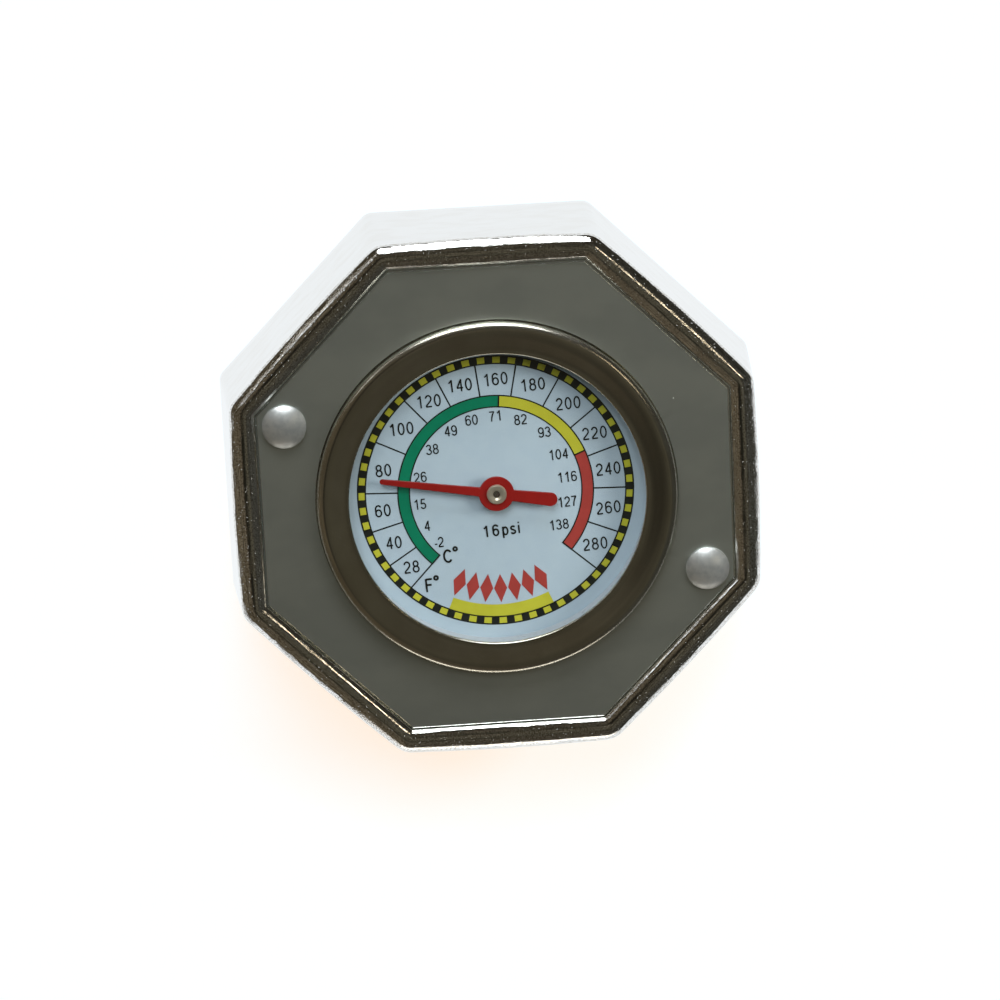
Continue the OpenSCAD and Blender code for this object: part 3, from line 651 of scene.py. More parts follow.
def arc(centre: Flat, radius: float, start: float, end: float, steps: int) -> list[Flat]:
    """Points along an arc, its angles in degrees."""
    return oval(centre, (radius, radius), start, end, steps)


def falling_arc(start: Flat, reach: float, tilt_from: float, tilt_to: float, steps: int = 14) -> list[Flat]:
    """Arc of a profile that falls ever more steeply.

    Args:
        start: distance and height where it starts.
        reach: distance at its end.
        tilt_from: slope at its start in degrees.
        tilt_to: slope at its end.
        steps: number of pieces.

    Returns:
        The arc's points, the start included.
    """
    first, last = (math.sin(math.radians(tilt)) for tilt in (tilt_from, tilt_to))
    radius = (reach - start[0]) / (last - first)
    centre = (start[0] - radius * first, start[1] - radius * math.cos(math.radians(tilt_from)))
    return arc(centre, radius, 90 - tilt_from, 90 - tilt_to, steps)


def polar(radius: float, angle: float) -> Flat:
    """Point at a radius and an angle in degrees."""
    return radius * math.cos(math.radians(angle)), radius * math.sin(math.radians(angle))


def eased(outline: Sequence[Flat], radius: float, steps: int = 3, most: float = 0.45) -> list[Flat]:
    """Rounds each corner of a closed outline.

    Args:
        outline: the corners in order.
        radius: how far along each side the rounding starts.
        steps: number of pieces in each rounding.
        most: share of a side that one rounding may take.

    Returns:
        The rounded outline.
    """
    rounded: list[Flat] = []
    for i, here in enumerate(outline):
        corner = Vector(here)
        sides = [Vector(outline[i - 1]) - corner, Vector(outline[(i + 1) % len(outline)]) - corner]
        first, last = (corner + s.normalized() * min(radius, most * s.length) for s in sides)
        for k in range(steps + 1):
            t = k / steps
            rounded.append(tuple(first * (1 - t) ** 2 + corner * 2 * t * (1 - t) + last * t ** 2))
    return rounded


@dataclass
class Form:
    """Points in millimetres and faces of one or more closed surfaces."""

    points: list[Point] = field(default_factory=list)
    faces: list[tuple[int, ...]] = field(default_factory=list)

    def add(self, points: Sequence[Point], faces: Sequence[Sequence[int]]) -> "Form":
        """Adds a surface.

        Args:
            points: its points.
            faces: its faces, which count from its own first point.

        Returns:
            This form.
        """
        base = len(self.points)
        self.points += [tuple(p) for p in points]
        self.faces += [tuple(base + i for i in face) for face in faces]
        return self

    def skin(self, rings: Sequence[Ring], loops: bool) -> "Form":
        """Skins a row of rings with the same number of points.

        Args:
            rings: the rings in order.
            loops: True joins the last ring to the first, False closes each end with a face.

        Returns:
            This form.
        """
        n, rows = len(rings[0]), len(rings)
        faces: list[tuple[int, ...]] = []
        for j in range(rows if loops else rows - 1):
            low, high = j * n, (j + 1) % rows * n
            faces += [(low + i, low + (i + 1) % n, high + (i + 1) % n, high + i) for i in range(n)]
        if not loops:
            faces += [tuple(range(n - 1, -1, -1)), tuple((rows - 1) * n + i for i in range(n))]
        return self.add([p for ring in rings for p in ring], faces)

    def lathe(self, profile: Sequence[Flat], steps: int = 192, at: Flat = (0.0, 0.0)) -> "Form":
        """Turns a closed profile of radius and height about an upright axis.

        Args:
            profile: the profile's corners. A corner at radius 0 becomes a pole.
            steps: number of steps round the axis.
            at: where the axis stands.

        Returns:
            This form.
        """
        turns = [2 * math.pi * i / steps for i in range(steps)]
        points: list[Point] = []
        starts: list[tuple[int, int]] = []
        for r, z in profile:
            count = 1 if r < NO_LENGTH else steps
            starts.append((len(points), count))
            points += [(at[0] + r * math.cos(t), at[1] + r * math.sin(t), z) for t in turns[:count]]
        faces: list[tuple[int, ...]] = []
        for (low, n_low), (high, n_high) in zip(starts, starts[1:] + starts[:1]):
            if n_low == n_high == 1:
                continue
            for i in range(steps):
                k = (i + 1) % steps
                corners = (low + i % n_low, low + k % n_low, high + k % n_high, high + i % n_high)
                faces.append(tuple(dict.fromkeys(corners)))
        return self.add(points, faces)

    def prism(self, outline: Sequence[Flat], low: float, high: float) -> "Form":
        """Adds an upright prism over an outline."""
        rings = [[(x, y, z) for x, y in outline] for z in (low, high)]
        return self.skin(rings, loops=False)

    def band(self, inner: Sequence[Flat], outer: Sequence[Flat], low: float, high: float) -> "Form":
        """Adds a flat closed band between two rings of points."""
        corners = [(inner, low), (outer, low), (outer, high), (inner, high)]
        return self.skin([[(x, y, z) for x, y in line] for line, z in corners], loops=True)

    def tube(self, line: Sequence[Point], radius: float, sides: int = 16) -> "Form":
        """Sweeps a round wire along a line that winds about the Z axis.

        Args:
            line: the wire's centre line.
            radius: radius of the wire.
            sides: number of sides round it.

        Returns:
            This form.
        """
        rings: list[Ring] = []
        for i, here in enumerate(line):
            ahead = Vector(line[min(i + 1, len(line) - 1)]) - Vector(line[max(i - 1, 0)])
            out = Vector((here[0], here[1], 0)).normalized()
            side = ahead.normalized().cross(out)
            turns = [2 * math.pi * k / sides for k in range(sides)]
            rings.append([tuple(Vector(here) + radius * (out * math.cos(t) + side * math.sin(t)))
                          for t in turns])
        return self.skin(rings, loops=False)

    def stroke(self, line: Sequence[Flat], width: float, low: float, high: float) -> "Form":
        """Adds a flat stroke along a line. It closes on itself where the ends meet.

        Args:
            line: the stroke's centre line.
            width: its width.
            low: height of its underside.
            high: height of its top.

        Returns:
            This form.
        """
        points = [Vector(p) for p in line]
        closed = (points[0] - points[-1]).length < NO_LENGTH
        if closed:
            points.pop()
        rings: list[Ring] = []
        for i, here in enumerate(points):
            back = points[i - 1] if i or closed else here
            ahead = points[(i + 1) % len(points)] if i + 1 < len(points) or closed else here
            ways = [w.normalized() for w in (here - back, ahead - here) if w.length > NO_LENGTH]
            way = sum(ways, Vector((0, 0))).normalized()
            side = Vector((-way.y, way.x)) * width / 2 / max(way.dot(ways[0]), MITRE_LIMIT)
            left, right = here + side, here - side
            rings.append([(right.x, right.y, low), (left.x, left.y, low), (left.x, left.y, high),
                          (right.x, right.y, high)])
        return self.skin(rings, loops=closed)

    def turned(self, angle: float) -> "Form":
        """Turns the form about the Z axis.

        Args:
            angle: the angle in degrees.

        Returns:
            This form.
        """
        spin = Matrix.Rotation(math.radians(angle), 3, "Z")
        self.points = [tuple(spin @ Vector(p)) for p in self.points]
        return self

    def piece(self, name: str, body: Body, finish: Finish, crease: float = 35.0) -> bpy.types.Object:
        """Makes the Blender object.

        Args:
            name: the piece's name.
            body: the body that it rides on.
            finish: its finish.
            crease: edges sharper than this many degrees stay sharp.

        Returns:
            The new object.
        """
        mesh = bpy.data.meshes.new(name)
        mesh.from_pydata([tuple(c * MM for c in p) for p in self.points], [], self.faces)
        mesh.materials.append(finish.material())
        obj = bpy.data.objects.new(name, mesh)
        bpy.context.scene.collection.objects.link(obj)
        fix_normals(mesh)
        mesh.shade_smooth()
        mesh.set_sharp_from_angle(angle=math.radians(crease))
        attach(obj, body.value)
        LOG.info("%s: %d faces on %s", name, len(mesh.polygons), body.value)
        return obj


def fix_normals(mesh: bpy.types.Mesh) -> None:
    """Turns every face of a closed mesh outwards.

    Args:
        mesh: the mesh.
    """
    work = bmesh.new()
    work.from_mesh(mesh)
    bmesh.ops.recalc_face_normals(work, faces=work.faces)
    work.to_mesh(mesh)
    work.free()


def dress(finishes: dict[str, Finish]) -> None:
    """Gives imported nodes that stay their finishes.

    Args:
        finishes: each node's finish by the node's name.
    """
    for node, finish in finishes.items():
        obj = frame["nodes"][node]
        obj.data.materials.clear()
        obj.data.materials.append(finish.material())
        LOG.info("%s: packed solid in %s", node, finish.name)


def soften(obj: bpy.types.Object, width: float, steps: int = 3, corner: float = 40.0) -> None:
    """Rounds an object's sharp edges.

    Args:
        obj: the object.
        width: width of the rounding in millimetres.
        steps: number of pieces across it.
        corner: edges sharper than this many degrees are rounded.
    """
    bevel = obj.modifiers.new("eased_edges", "BEVEL")
    bevel.width = width * MM
    bevel.segments = steps
    bevel.limit_method = "ANGLE"
    bevel.angle_limit = math.radians(corner)
    bevel.harden_normals = True


@dataclass(frozen=True)
class Octagon:
    """Samples rounded octagons of any size alike, so that they can be skinned."""

    corner_steps: int = 8
    flat_steps: int = 44
    guide_corner: float = 0.2

    def ring(self, reach: float, corner: float, z: float, bow: float = 0.0) -> Ring:
        """One octagon with its flats facing the axes.

        Args:
            reach: distance from the centre to the middle of a flat.
            corner: radius of the corners.
            z: height.
            bow: how far each flat's middle stands out from its ends.

        Returns:
            The ring's points.
        """
        half = math.pi / SIDES
        centre = (reach - bow - corner) / math.cos(half)
        corners: list[list[Flat]] = []
        for k in range(SIDES):
            axis = half * (2 * k + 1)
            turns = [axis - half + 2 * half * i / self.corner_steps for i in range(self.corner_steps + 1)]
            corners.append([(centre * math.cos(axis) + corner * math.cos(t),
                             centre * math.sin(axis) + corner * math.sin(t)) for t in turns])
        ring: Ring = []
        for k, points in enumerate(corners):
            start, end = Vector(points[-1]), Vector(corners[(k + 1) % SIDES][0])
            out = ((start + end) / 2).normalized() * bow
            shares = [i / self.flat_steps for i in range(1, self.flat_steps)]
            flat = [start.lerp(end, s) + out * (1 - (2 * s - 1) ** 2) for s in shares]
            ring += [(x, y, z) for x, y in points] + [(p.x, p.y, z) for p in flat]
        return ring

    def circle(self, radius: float, z: float) -> Ring:
        """Circle whose points lie in line with those of an octagon."""
        guide = self.ring(radius, self.guide_corner, z)
        return [(*(Vector(p[:2]).normalized() * radius), z) for p in guide]

    def between(self, first: Ring, last: Ring, steps: int) -> list[Ring]:
        """Rings that turn one ring into another, both left out."""
        shares = [k / steps for k in range(1, steps)]
        return [[tuple(Vector(p).lerp(Vector(q), s)) for p, q in zip(first, last)] for s in shares]


# Lettering

DIGIT_W = 0.56          # width of a digit as a share of its height
ROOM = {"-": 0.52, "i": 0.38, "s": 0.80, "p": 0.84, "C": 1.12, "F": 0.98}        # in digits


@dataclass(frozen=True)
class Label:
    """Upright lettering. Its space and stroke are shares of a digit's height."""

    words: str
    centre: Flat
    height: float
    space: float = 0.70
    stroke: float = 0.120


def letter_strokes(letter: str) -> list[list[Flat]]:
    """Centre lines of a character whose height is 1.

    Args:
        letter: the character.

    Returns:
        Its strokes.
    """
    six = [oval((0.285, 0.325), (0.215, 0.27), 0, 360, 24),
           [*oval((0.29, 0.68), (0.215, 0.265), 25, 180), (0.073, 0.50), (0.070, 0.325)]]
    shapes = {
        "0": [oval((0.28, 0.5), (0.215, 0.445), 0, 360, 28)],
        "1": [[(0.36, 0.0), (0.36, 0.99)], [(0.36, 0.97), (0.26, 0.83), (0.13, 0.74)]],
        "2": [[*oval((0.28, 0.685), (0.21, 0.26), 168, -22), (0.40, 0.47), (0.26, 0.32), (0.13, 0.19),
               (0.07, 0.055)], [(0.055, 0.055), (0.51, 0.055)]],
        "3": [oval((0.27, 0.725), (0.19, 0.22), 165, -90), oval((0.27, 0.28), (0.225, 0.225), 90, -165)],
        "4": [[(0.40, 0.0), (0.40, 0.985)], [(0.40, 0.95), (0.07, 0.285)], [(0.04, 0.285), (0.54, 0.285)]],
        "5": [[(0.47, 0.945), (0.13, 0.945)], [(0.15, 0.97), (0.08, 0.49)],
              oval((0.27, 0.315), (0.225, 0.26), 140, -160)],
        "6": six,
        "7": [[(0.04, 0.93), (0.51, 0.93)], [(0.49, 0.93), (0.35, 0.68), (0.25, 0.38), (0.20, 0.0)]],
        "8": [oval((0.28, 0.735), (0.185, 0.21), 0, 360, 24),
              oval((0.28, 0.29), (0.22, 0.235), 0, 360, 24)],
        "9": [[(0.57 - x, 1 - y) for x, y in line] for line in six],
        "-": [[(0.03, 0.33), (0.27, 0.33)]],
        "C": [oval((0.34, 0.5), (0.285, 0.445), 40, 320, 24)],
        "F": [[(0.08, 0.0), (0.08, 0.99)], [(0.08, 0.945), (0.52, 0.945)], [(0.08, 0.52), (0.46, 0.52)]],
        "°": [oval((0.14, 0.98), (0.135, 0.135), 0, 360, 16)],
        "p": [[(0.08, -0.26), (0.08, 0.74)], oval((0.27, 0.35), (0.19, 0.32), 0, 360, 20)],
        "s": [oval((0.235, 0.53), (0.165, 0.145), 25, 240), [(0.16, 0.41), (0.31, 0.33)],
              oval((0.235, 0.195), (0.175, 0.145), 65, -160)],
        "i": [[(0.07, 0.0), (0.07, 0.72)], [(0.07, 0.88), (0.07, 1.0)]],
    }
    return shapes[letter]


# Sub-assemblies

@dataclass(frozen=True)
class RivetPlaces:
    """Where the two rivets stand."""

    circle_r: float = 32.8
    azimuth: float = 157.5

    def axes(self) -> list[Flat]:
        """The rivets' axes."""
        return [polar(self.circle_r, self.azimuth + half) for half in (0, 180)]


@dataclass
class Housing:
    """Octagonal chromed casting with its rim bead, web, ribs and bosses."""

    rim_w: float = 3.08
    crown_r: float = 2.3
    rim_rise: float = 0.9
    rim_foot: float = 0.1
    rim_inset: float = 0.05
    top_reach: float = 38.5
    shoulder_tilt: float = 41.0
    edge_r: float = 0.9
    bow: float = 0.3
    crown_steps: int = 26
    wall_t: float = 2.4
    wall_steps: int = 12
    inner_steps: int = 4
    corner_r: float = 3.7
    foot_corner_r: float = 2.2
    inner_r: float = 0.8
    sharp_r: float = 0.5
    web_t: float = 2.0
    web_hole_r: float = 24.4
    rib_h: float = 3.2
    rib_t: float = 1.6
    rib_reach: float = 38.2
    rib_gap: float = 1.0
    rib_cut: float = 1.2
    rib_round: float = 0.3
    rib_lap: float = 0.4
    boss_r: float = 4.2
    boss_edge: float = 0.3
    boss_gap: float = 0.8
    recess_gap: float = 0.1
    lip: float = 0.15
    foot_edge: float = 0.5
    foot_share: float = 0.3
    head_round: float = 1.0
    dent: float = 3.0
    dent_depth: float = 0.12
    dent_from: float = 36.8
    dent_to: float = 38.3
    dent_top: float = 1.0
    dent_low: float = 3.5
    ripple: float = 3.0
    ripple_share: float = 0.3
    shape: Octagon = Octagon()
    rivets: RivetPlaces = RivetPlaces()

    def build(self) -> None:
        """Builds the casting, its ribs and its bosses."""
        box, plate = Span.of("housing"), Span.of("face_plate")
        top, web = plate.high.z, plate.low.z
        under = web - self.web_t
        recess = plate.reach + self.recess_gap
        bead = self._bead(recess + self.rim_inset, top)
        rings = self._rim(bead, recess, web, top)
        rings += self._wall(rings[-1], box)
        rings += self._inside(bead[-1][0], box, under)
        rings += [self.shape.circle(self.web_hole_r, z) for z in (under, web)]
        casting = Form().skin(rings, loops=True).piece("cast_housing", Body.CAP, CHROME, crease=50)
        self._dent_edge(casting, top)
        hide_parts("housing")
        self._build_ribs(under)
        self._build_bosses(Span.of("cap_shell").high.z, web)

    def _rim(self, bead: Sequence[Flat], recess: float, web: float, top: float) -> list[Ring]:
        """Rings up the recess and over the rim bead.

        Args:
            bead: the bead's profile from its foot out to the side wall.
            recess: distance from the centre to the recess's side.
            web: height of the recess's floor.
            top: height of the face sheet.

        Returns:
            The rings. On the way out their corners grow rounder and their flats bow.
        """
        inside, outside = bead[0][0], bead[-1][0]
        rings = [self.shape.ring(recess, self.sharp_r, z) for z in (web, top - self.lip)]
        for reach, z in bead:
            out = (reach - inside) / (outside - inside)
            corner = self.sharp_r + (self.corner_r - self.sharp_r) * out
            rings.append(self.shape.ring(reach, corner, z, self.bow * out))
        return rings

    def _wall(self, head: Ring, box: Span) -> list[Ring]:
        """Rings down the outside of the wall and across its foot.

        Args:
            head: the wall's first ring.
            box: the housing's box.

        Returns:
            The rings after the first.
        """
        low, edge, corner = box.low.z, self.foot_edge, self.foot_corner_r
        part = edge * self.foot_share
        foot = self.shape.ring(box.reach, corner, low + edge)
        return [*self.shape.between(head, foot, self.wall_steps), foot,
                self.shape.ring(box.reach - part, corner, low + part),
                self.shape.ring(box.reach - edge, corner, low),
                self.shape.ring(box.reach - self.wall_t + edge, self.inner_r, low)]

    def _inside(self, outside: float, box: Span, under: float) -> list[Ring]:
        """Rings up the inside of the wall to the web.

        Args:
            outside: distance from the centre to the head of the wall.
            box: the housing's box.
            under: height of the web's underside.

        Returns:
            The rings.
        """
        reach = outside - self.wall_t
        foot = self.shape.ring(box.reach - self.wall_t, self.inner_r, box.low.z + self.foot_edge)
        head = self.shape.ring(reach, self.inner_r, under - self.head_round)
        return [foot, *self.shape.between(foot, head, self.inner_steps), head,
                self.shape.ring(reach - self.head_round, self.inner_r, under)]

    def _dent_edge(self, casting: bpy.types.Object, top: float) -> None:
        """Moves the bead's outer edge in by noise that follows the outline, as on a rough casting.

        Args:
            casting: the housing's mesh.
            top: height of the face sheet.
        """
        for vertex in casting.data.vertices:
            place = vertex.co / MM
            out = max(abs(place.x * math.cos(a) + place.y * math.sin(a)) for a in FLAT_TURNS)
            share = min(max((out - self.dent_from) / (self.dent_to - self.dent_from), 0.0), 1.0)
            share *= min(max(1 - (top - self.dent_top - place.z) / self.dent_low, 0.0), 1.0)
            way = Vector((place.x, place.y, 0)).normalized()
            around = way * self.top_reach / self.dent
            broad, fine = noise.noise(around), noise.noise(around * self.ripple)
            wave = broad * (1 - self.ripple_share) + fine * self.ripple_share
            vertex.co -= way * self.dent_depth * MM * ((1 + wave) / 2) * share

    def _bead(self, inside: float, top: float) -> list[Flat]:
        """Profile of the rim bead: a rounded crown, a flatter shoulder and a rounded edge.

        Args:
            inside: distance from the centre to the crown's foot.
            top: height of the face sheet.

        Returns:
            Distances and heights from the foot out to the side wall.
        """
        rise = math.degrees(math.acos(1 - (self.rim_rise - self.rim_foot) / self.crown_r))
        middle = inside + self.crown_r * math.sin(math.radians(rise))
        fall = math.degrees(math.asin((inside + self.rim_w - middle) / self.crown_r))
        centre = (middle, top + self.rim_rise - self.crown_r)
        crown = arc(centre, self.crown_r, 90 + rise, 90 - fall, self.crown_steps)
        edge_start = self.top_reach - self.edge_r * (1 - math.sin(math.radians(self.shoulder_tilt)))
        shoulder = falling_arc(crown[-1], edge_start, fall, self.shoulder_tilt)
        edge = falling_arc(shoulder[-1], self.top_reach, self.shoulder_tilt, 90.0)
        return crown + shoulder[1:] + edge[1:]

    def _build_ribs(self, under: float) -> None:
        """Adds the eight ribs below the web.

        Args:
            under: height of the web's underside.
        """
        form = Form()
        start, end, half = self.web_hole_r + self.rib_gap, self.rib_reach, self.rib_t / 2
        top, low = under + self.rib_lap, under - self.rib_h
        cut = self.rib_cut
        side = [(start, top), (start, low + cut), (start + cut, low), (end, low), (end, top)]
        rings = [[(x, y, z) for x, z in eased(side, self.rib_round)] for y in (-half, half)]
        for k in range(SIDES):
            rib = Form().skin(rings, loops=False).turned(360 / SIDES * (k + 0.5))
            form.add(rib.points, rib.faces)
        form.piece("housing_ribs", Body.CAP, CHROME)

    def _build_bosses(self, low: float, high: float) -> None:
        """Adds the two bosses that the rivets pass through.

        Args:
            low: height of their feet.
            high: height of the web's upper side.
        """
        form = Form()
        r, top = self.boss_r, high - self.boss_gap
        profile = [(0, low), (r - self.boss_edge, low), (r, low + self.boss_edge), (r, top), (0, top)]
        for axis in self.rivets.axes():
            form.lathe(profile, steps=64, at=axis)
        form.piece("rivet_bosses", Body.CAP, CHROME)


@dataclass
class FacePlate:
    """Face sheet with a chamfered border, and the two domed rivets that hold it."""

    edge_out: float = 0.08
    chamfer: float = 0.27
    chamfer_tilts: Flat = (34.0, 39.0)
    chamfer_steps: int = 5
    crest: float = 0.08
    crest_tilt: float = 18.0
    hole_r: float = 26.4
    hole_round: float = 0.16
    corner_r: float = 0.12
    head_r: float = 3.2
    head_h: float = 1.7
    head_tilt: float = 40.0
    head_round: float = 0.22
    head_foot: Flat = (0.08, 0.1)
    shank_r: float = 2.0
    tail_r: float = 2.9
    tail_h: float = 1.4
    tail_round: float = 0.5
    rivets: RivetPlaces = RivetPlaces()

    def build(self) -> None:
        """Builds the sheet and its rivets."""
        self._build_sheet()
        self._build_rivets()

    def _build_sheet(self) -> None:
        """Builds the octagonal sheet."""
        box = Span.of("face_plate")
        shape = Octagon(corner_steps=3, flat_steps=16)
        top, reach, sharp = box.high.z, box.reach + self.edge_out, self.corner_r
        hole_centre = (self.hole_r + self.hole_round, top - self.hole_round)
        inner = [shape.circle(r, z) for r, z in arc(hole_centre, self.hole_round, 180, 90, steps=3)]
        start, steps = reach - self.chamfer, self.chamfer_steps
        gentle, steep = self.chamfer_tilts
        crest = falling_arc((start - self.crest, top), start, self.crest_tilt, gentle, steps)
        edge = crest + falling_arc(crest[-1], reach, gentle, steep, steps)[1:]
        outer = [*(shape.ring(r, sharp, z) for r, z in edge), shape.ring(reach, sharp, box.low.z)]
        middle = shape.between(inner[-1], outer[0], steps=4)
        rings = [shape.circle(self.hole_r, box.low.z), *inner, *middle, *outer]
        sheet = Form().skin(rings, loops=True).piece("face_sheet", Body.CAP, FACE, crease=15)
        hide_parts("face_plate")

    def _build_rivets(self) -> None:
        """Builds both rivets."""
        top, low = Span.of("face_plate").high.z, Span.of("rivets").low.z
        tilt, edge = math.radians(self.head_tilt), self.head_round
        dome_r = (self.head_r - edge * (1 - math.sin(tilt))) / math.sin(tilt)
        dome = arc((0, top + self.head_h - dome_r), dome_r, 90 - self.head_tilt, 90, steps=14)
        centre = (self.head_r - edge, dome[0][1] - edge * math.cos(tilt))
        shoulder = arc(centre, edge, 0, 90 - self.head_tilt, steps=5)
        tail_centre = (self.tail_r - self.tail_round, low + self.tail_round)
        tail = arc(tail_centre, self.tail_round, -90, 0, steps=4)
        tail_top = low + self.tail_h
        foot_in, foot_up = self.head_foot
        profile = [(0, low), *tail, (self.tail_r, tail_top), (self.shank_r, tail_top), (self.shank_r, top),
                   (self.head_r - foot_in, top), (self.head_r, top + foot_up),
                   *shoulder, *dome[1:-1], (0, top + self.head_h)]
        form = Form()
        for axis in self.rivets.axes():
            form.lathe(profile, steps=96, at=axis)
        heads = form.piece("domed_rivets", Body.CAP, RIVET)
        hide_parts("rivets")


@dataclass
class Window:
    """Rolled bezel, glass, seal, white wall and drawn case of the gauge."""

    sheet: float = 0.4
    shoulder_r: float = 1.4
    shoulder_tilt: float = 46.0
    edge_r: float = 0.45
    edge_out: float = 0.08
    fall: float = 0.35
    face_out: Flat = (1.2, 0.07)
    face_in: Flat = (1.3, 0.05)
    lip_r: float = 0.3
    lip_lift: float = 0.02
    lip_reach: float = 21.6
    lip_start: float = 80.0
    roll_r: float = 0.5
    roll_start: float = -80.0
    roll_edge: float = 0.05
    roll_reach: float = 24.9

    def build(self) -> None:
        """Builds the bezel and dresses the pieces behind it."""
        box, lens = Span.of("dial_bezel"), Span.of("lens")
        out, top, low = box.reach + self.edge_out, box.high.z, box.low.z
        inside, floor = out - self.sheet, low + self.sheet
        tilt = math.radians(self.shoulder_tilt)
        turn_r = out - self.edge_r * (1 - math.sin(tilt)) - self.shoulder_r * math.sin(tilt)
        edge_z = top - self.shoulder_r * (1 - math.cos(tilt)) - self.edge_r * math.cos(tilt)
        meet = 90 - self.shoulder_tilt
        roll = arc((out - self.roll_r, low + self.roll_r), self.roll_r, self.roll_start, 0, steps=6)
        edge = arc((out - self.edge_r, edge_z), self.edge_r, 0, meet, steps=10)
        shoulder = arc((turn_r, top - self.shoulder_r), self.shoulder_r, meet, 90, steps=14)
        lip_centre = (self.lip_reach + self.lip_r, top - self.fall - self.lip_r + self.lip_lift)
        profile = [(self.roll_reach, low), (out - self.roll_r - self.roll_edge, low), *roll,
                   *edge, *shoulder[1:],
                   (turn_r - self.face_out[0], top - self.face_out[1]),
                   (self.lip_reach + self.face_in[0], top - self.fall + self.face_in[1]),
                   *arc(lip_centre, self.lip_r, self.lip_start, 180, steps=8),
                   (self.lip_reach, lens.high.z), (inside, lens.high.z), (inside, floor),
                   (self.roll_reach, floor)]
        bezel = Form().lathe(profile, steps=256).piece("rolled_bezel", Body.CAP, BEZEL, crease=30)
        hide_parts("dial_bezel")
        dress({"lens": GLASS, "lens_gasket": SEAL, "dial_ring": WALL, "gauge_case": CASE})


class Ink(Enum):
    """Layers of printing, counted up from the dial's face."""

    GROUND = 1
    OVER = 2
    LINES = 3


@dataclass
class DialPrint:
    """Printed dial: chequered ring, colour band, dividers, numbers and a row of lozenges."""

    ring_in: float = 19.02
    ring_out: float = 20.36
    square_in: float = 19.24
    square_out: float = 20.12
    squares: int = 55
    square_start: float = 2.07
    square_share: float = 0.485
    band_in: float = 12.66
    band_out: float = 14.36
    outline_w: float = 0.19
    line_w: float = 0.22
    ink_t: float = 0.02
    turn: float = 3.6
    outer_r: float = 16.8
    outer_h: float = 1.85
    inner_h: float = 1.55
    inner_r: float = 11.3
    inner_r_long: float = 10.65
    inner_space: float = 0.65
    units: tuple[Label, ...] = (
        Label("C°", (-6.85, -9.35), 2.0, stroke=0.145),
        Label("F°", (-9.8, -13.6), 2.05, stroke=0.145),
        Label("16psi", (0.42, -5.88), 1.75, space=0.82, stroke=0.145),
    )
    dividers: tuple[float, ...] = (226.5, 212.6, 195.4, 177.6, 153.8, 131.4, 114.6, 96.5, 78.5, 58.7,
                                   37.8, 17.9, -1.8, -22.4, -41.6)
    fahrenheit: tuple[int, ...] = (28, 40, 60, 80, 100, 120, 140, 160, 180, 200, 220, 240, 260, 280)
    celsius: tuple[int, ...] = (-2, 4, 15, 26, 38, 49, 60, 71, 82, 93, 104, 116, 127, 138)
    yellow_from: float = 85.6
    red_from: float = 21.8
    foot_in: float = 17.25
    foot_from: float = 246.0
    foot_to: float = 294.0
    lap: float = 0.05
    lozenges: int = 7
    lozenge_share: float = 0.94
    lozenge_from: float = 242.0
    lozenge_to: float = 298.0
    lozenge_in: float = 12.6
    lozenge_out: float = 16.95
    ring_steps: int = 240
    sector_step: float = 2.0
    top: float = field(init=False)

    def __post_init__(self) -> None:
        """Reads the height of the dial's face."""
        self.top = Span.of("dial_plate").high.z

    def build(self) -> None:
        """Dresses the dial sheet and prints everything on it."""
        dress({"dial_plate": DIAL})
        self._print_ring()
        self._print_band()
        self._print_dividers()
        self._print_numbers()
        self._print_foot()

    def _height(self, layer: Ink) -> float:
        """Height of a layer's surface."""
        return self.top + self.ink_t * layer.value

    def _sector(self, form: Form, inner: float, outer: float, start: float, end: float,
                layer: Ink) -> None:
        """Adds a printed sector.

        Args:
            form: the form that takes it.
            inner: its inner radius.
            outer: its outer radius.
            start: angle of its first end.
            end: angle of its last end.
            layer: its layer of ink.
        """
        steps = max(2, round(abs(end - start) / self.sector_step))
        outline = arc((0, 0), outer, start, end, steps) + arc((0, 0), inner, end, start, steps)
        form.prism(outline, self.top, self._height(layer))

    def _print_ring(self) -> None:
        """Prints the black ring and its squares."""
        black, yellow = Form(), Form()
        inner, outer = (arc((0, 0), r, 0, 360, self.ring_steps)[:-1] for r in (self.ring_in, self.ring_out))
        black.band(inner, outer, self.top, self._height(Ink.GROUND))
        pitch = 360 / self.squares
        for k in range(self.squares):
            mid, half = self.square_start + pitch * k, pitch * self.square_share / 2
            self._sector(yellow, self.square_in, self.square_out, mid - half, mid + half, Ink.OVER)
        black.piece("chequer_ring", Body.CAP, BLACK)
        yellow.piece("chequer_squares", Body.CAP, YELLOW)

    def _print_band(self) -> None:
        """Prints the green, yellow and red band and its outline."""
        start, end = self.dividers[0], self.dividers[-1]
        parts = [("band_green", GREEN, start, self.yellow_from),
                 ("band_yellow", YELLOW, self.yellow_from, self.red_from),
                 ("band_red", RED, self.red_from, end)]
        for name, finish, a, b in parts:
            form = Form()
            self._sector(form, self.band_in, self.band_out, a, b, Ink.GROUND)
            form.piece(name, Body.CAP, finish)
        lines, half = Form(), self.outline_w / 2
        for r in (self.band_in, self.band_out):
            self._sector(lines, r - half, r + half, start, end, Ink.OVER)
        for a in (start, self.yellow_from, self.red_from, end):
            self._spoke(lines, self.band_in - half, self.band_out + half, a, Ink.LINES)
        lines.piece("band_outline", Body.CAP, BLACK)

    def _spoke(self, form: Form, inner: float, outer: float, angle: float, layer: Ink) -> None:
        """Adds a thin radial line.

        Args:
            form: the form that takes it.
            inner: radius of its inner end.
            outer: radius of its outer end.
            angle: its angle.
            layer: its layer of ink.
        """
        half = self.line_w / 2
        bar = Form().prism([(inner, -half), (outer, -half), (outer, half), (inner, half)],
                           self.top, self._height(layer)).turned(angle)
        form.add(bar.points, bar.faces)

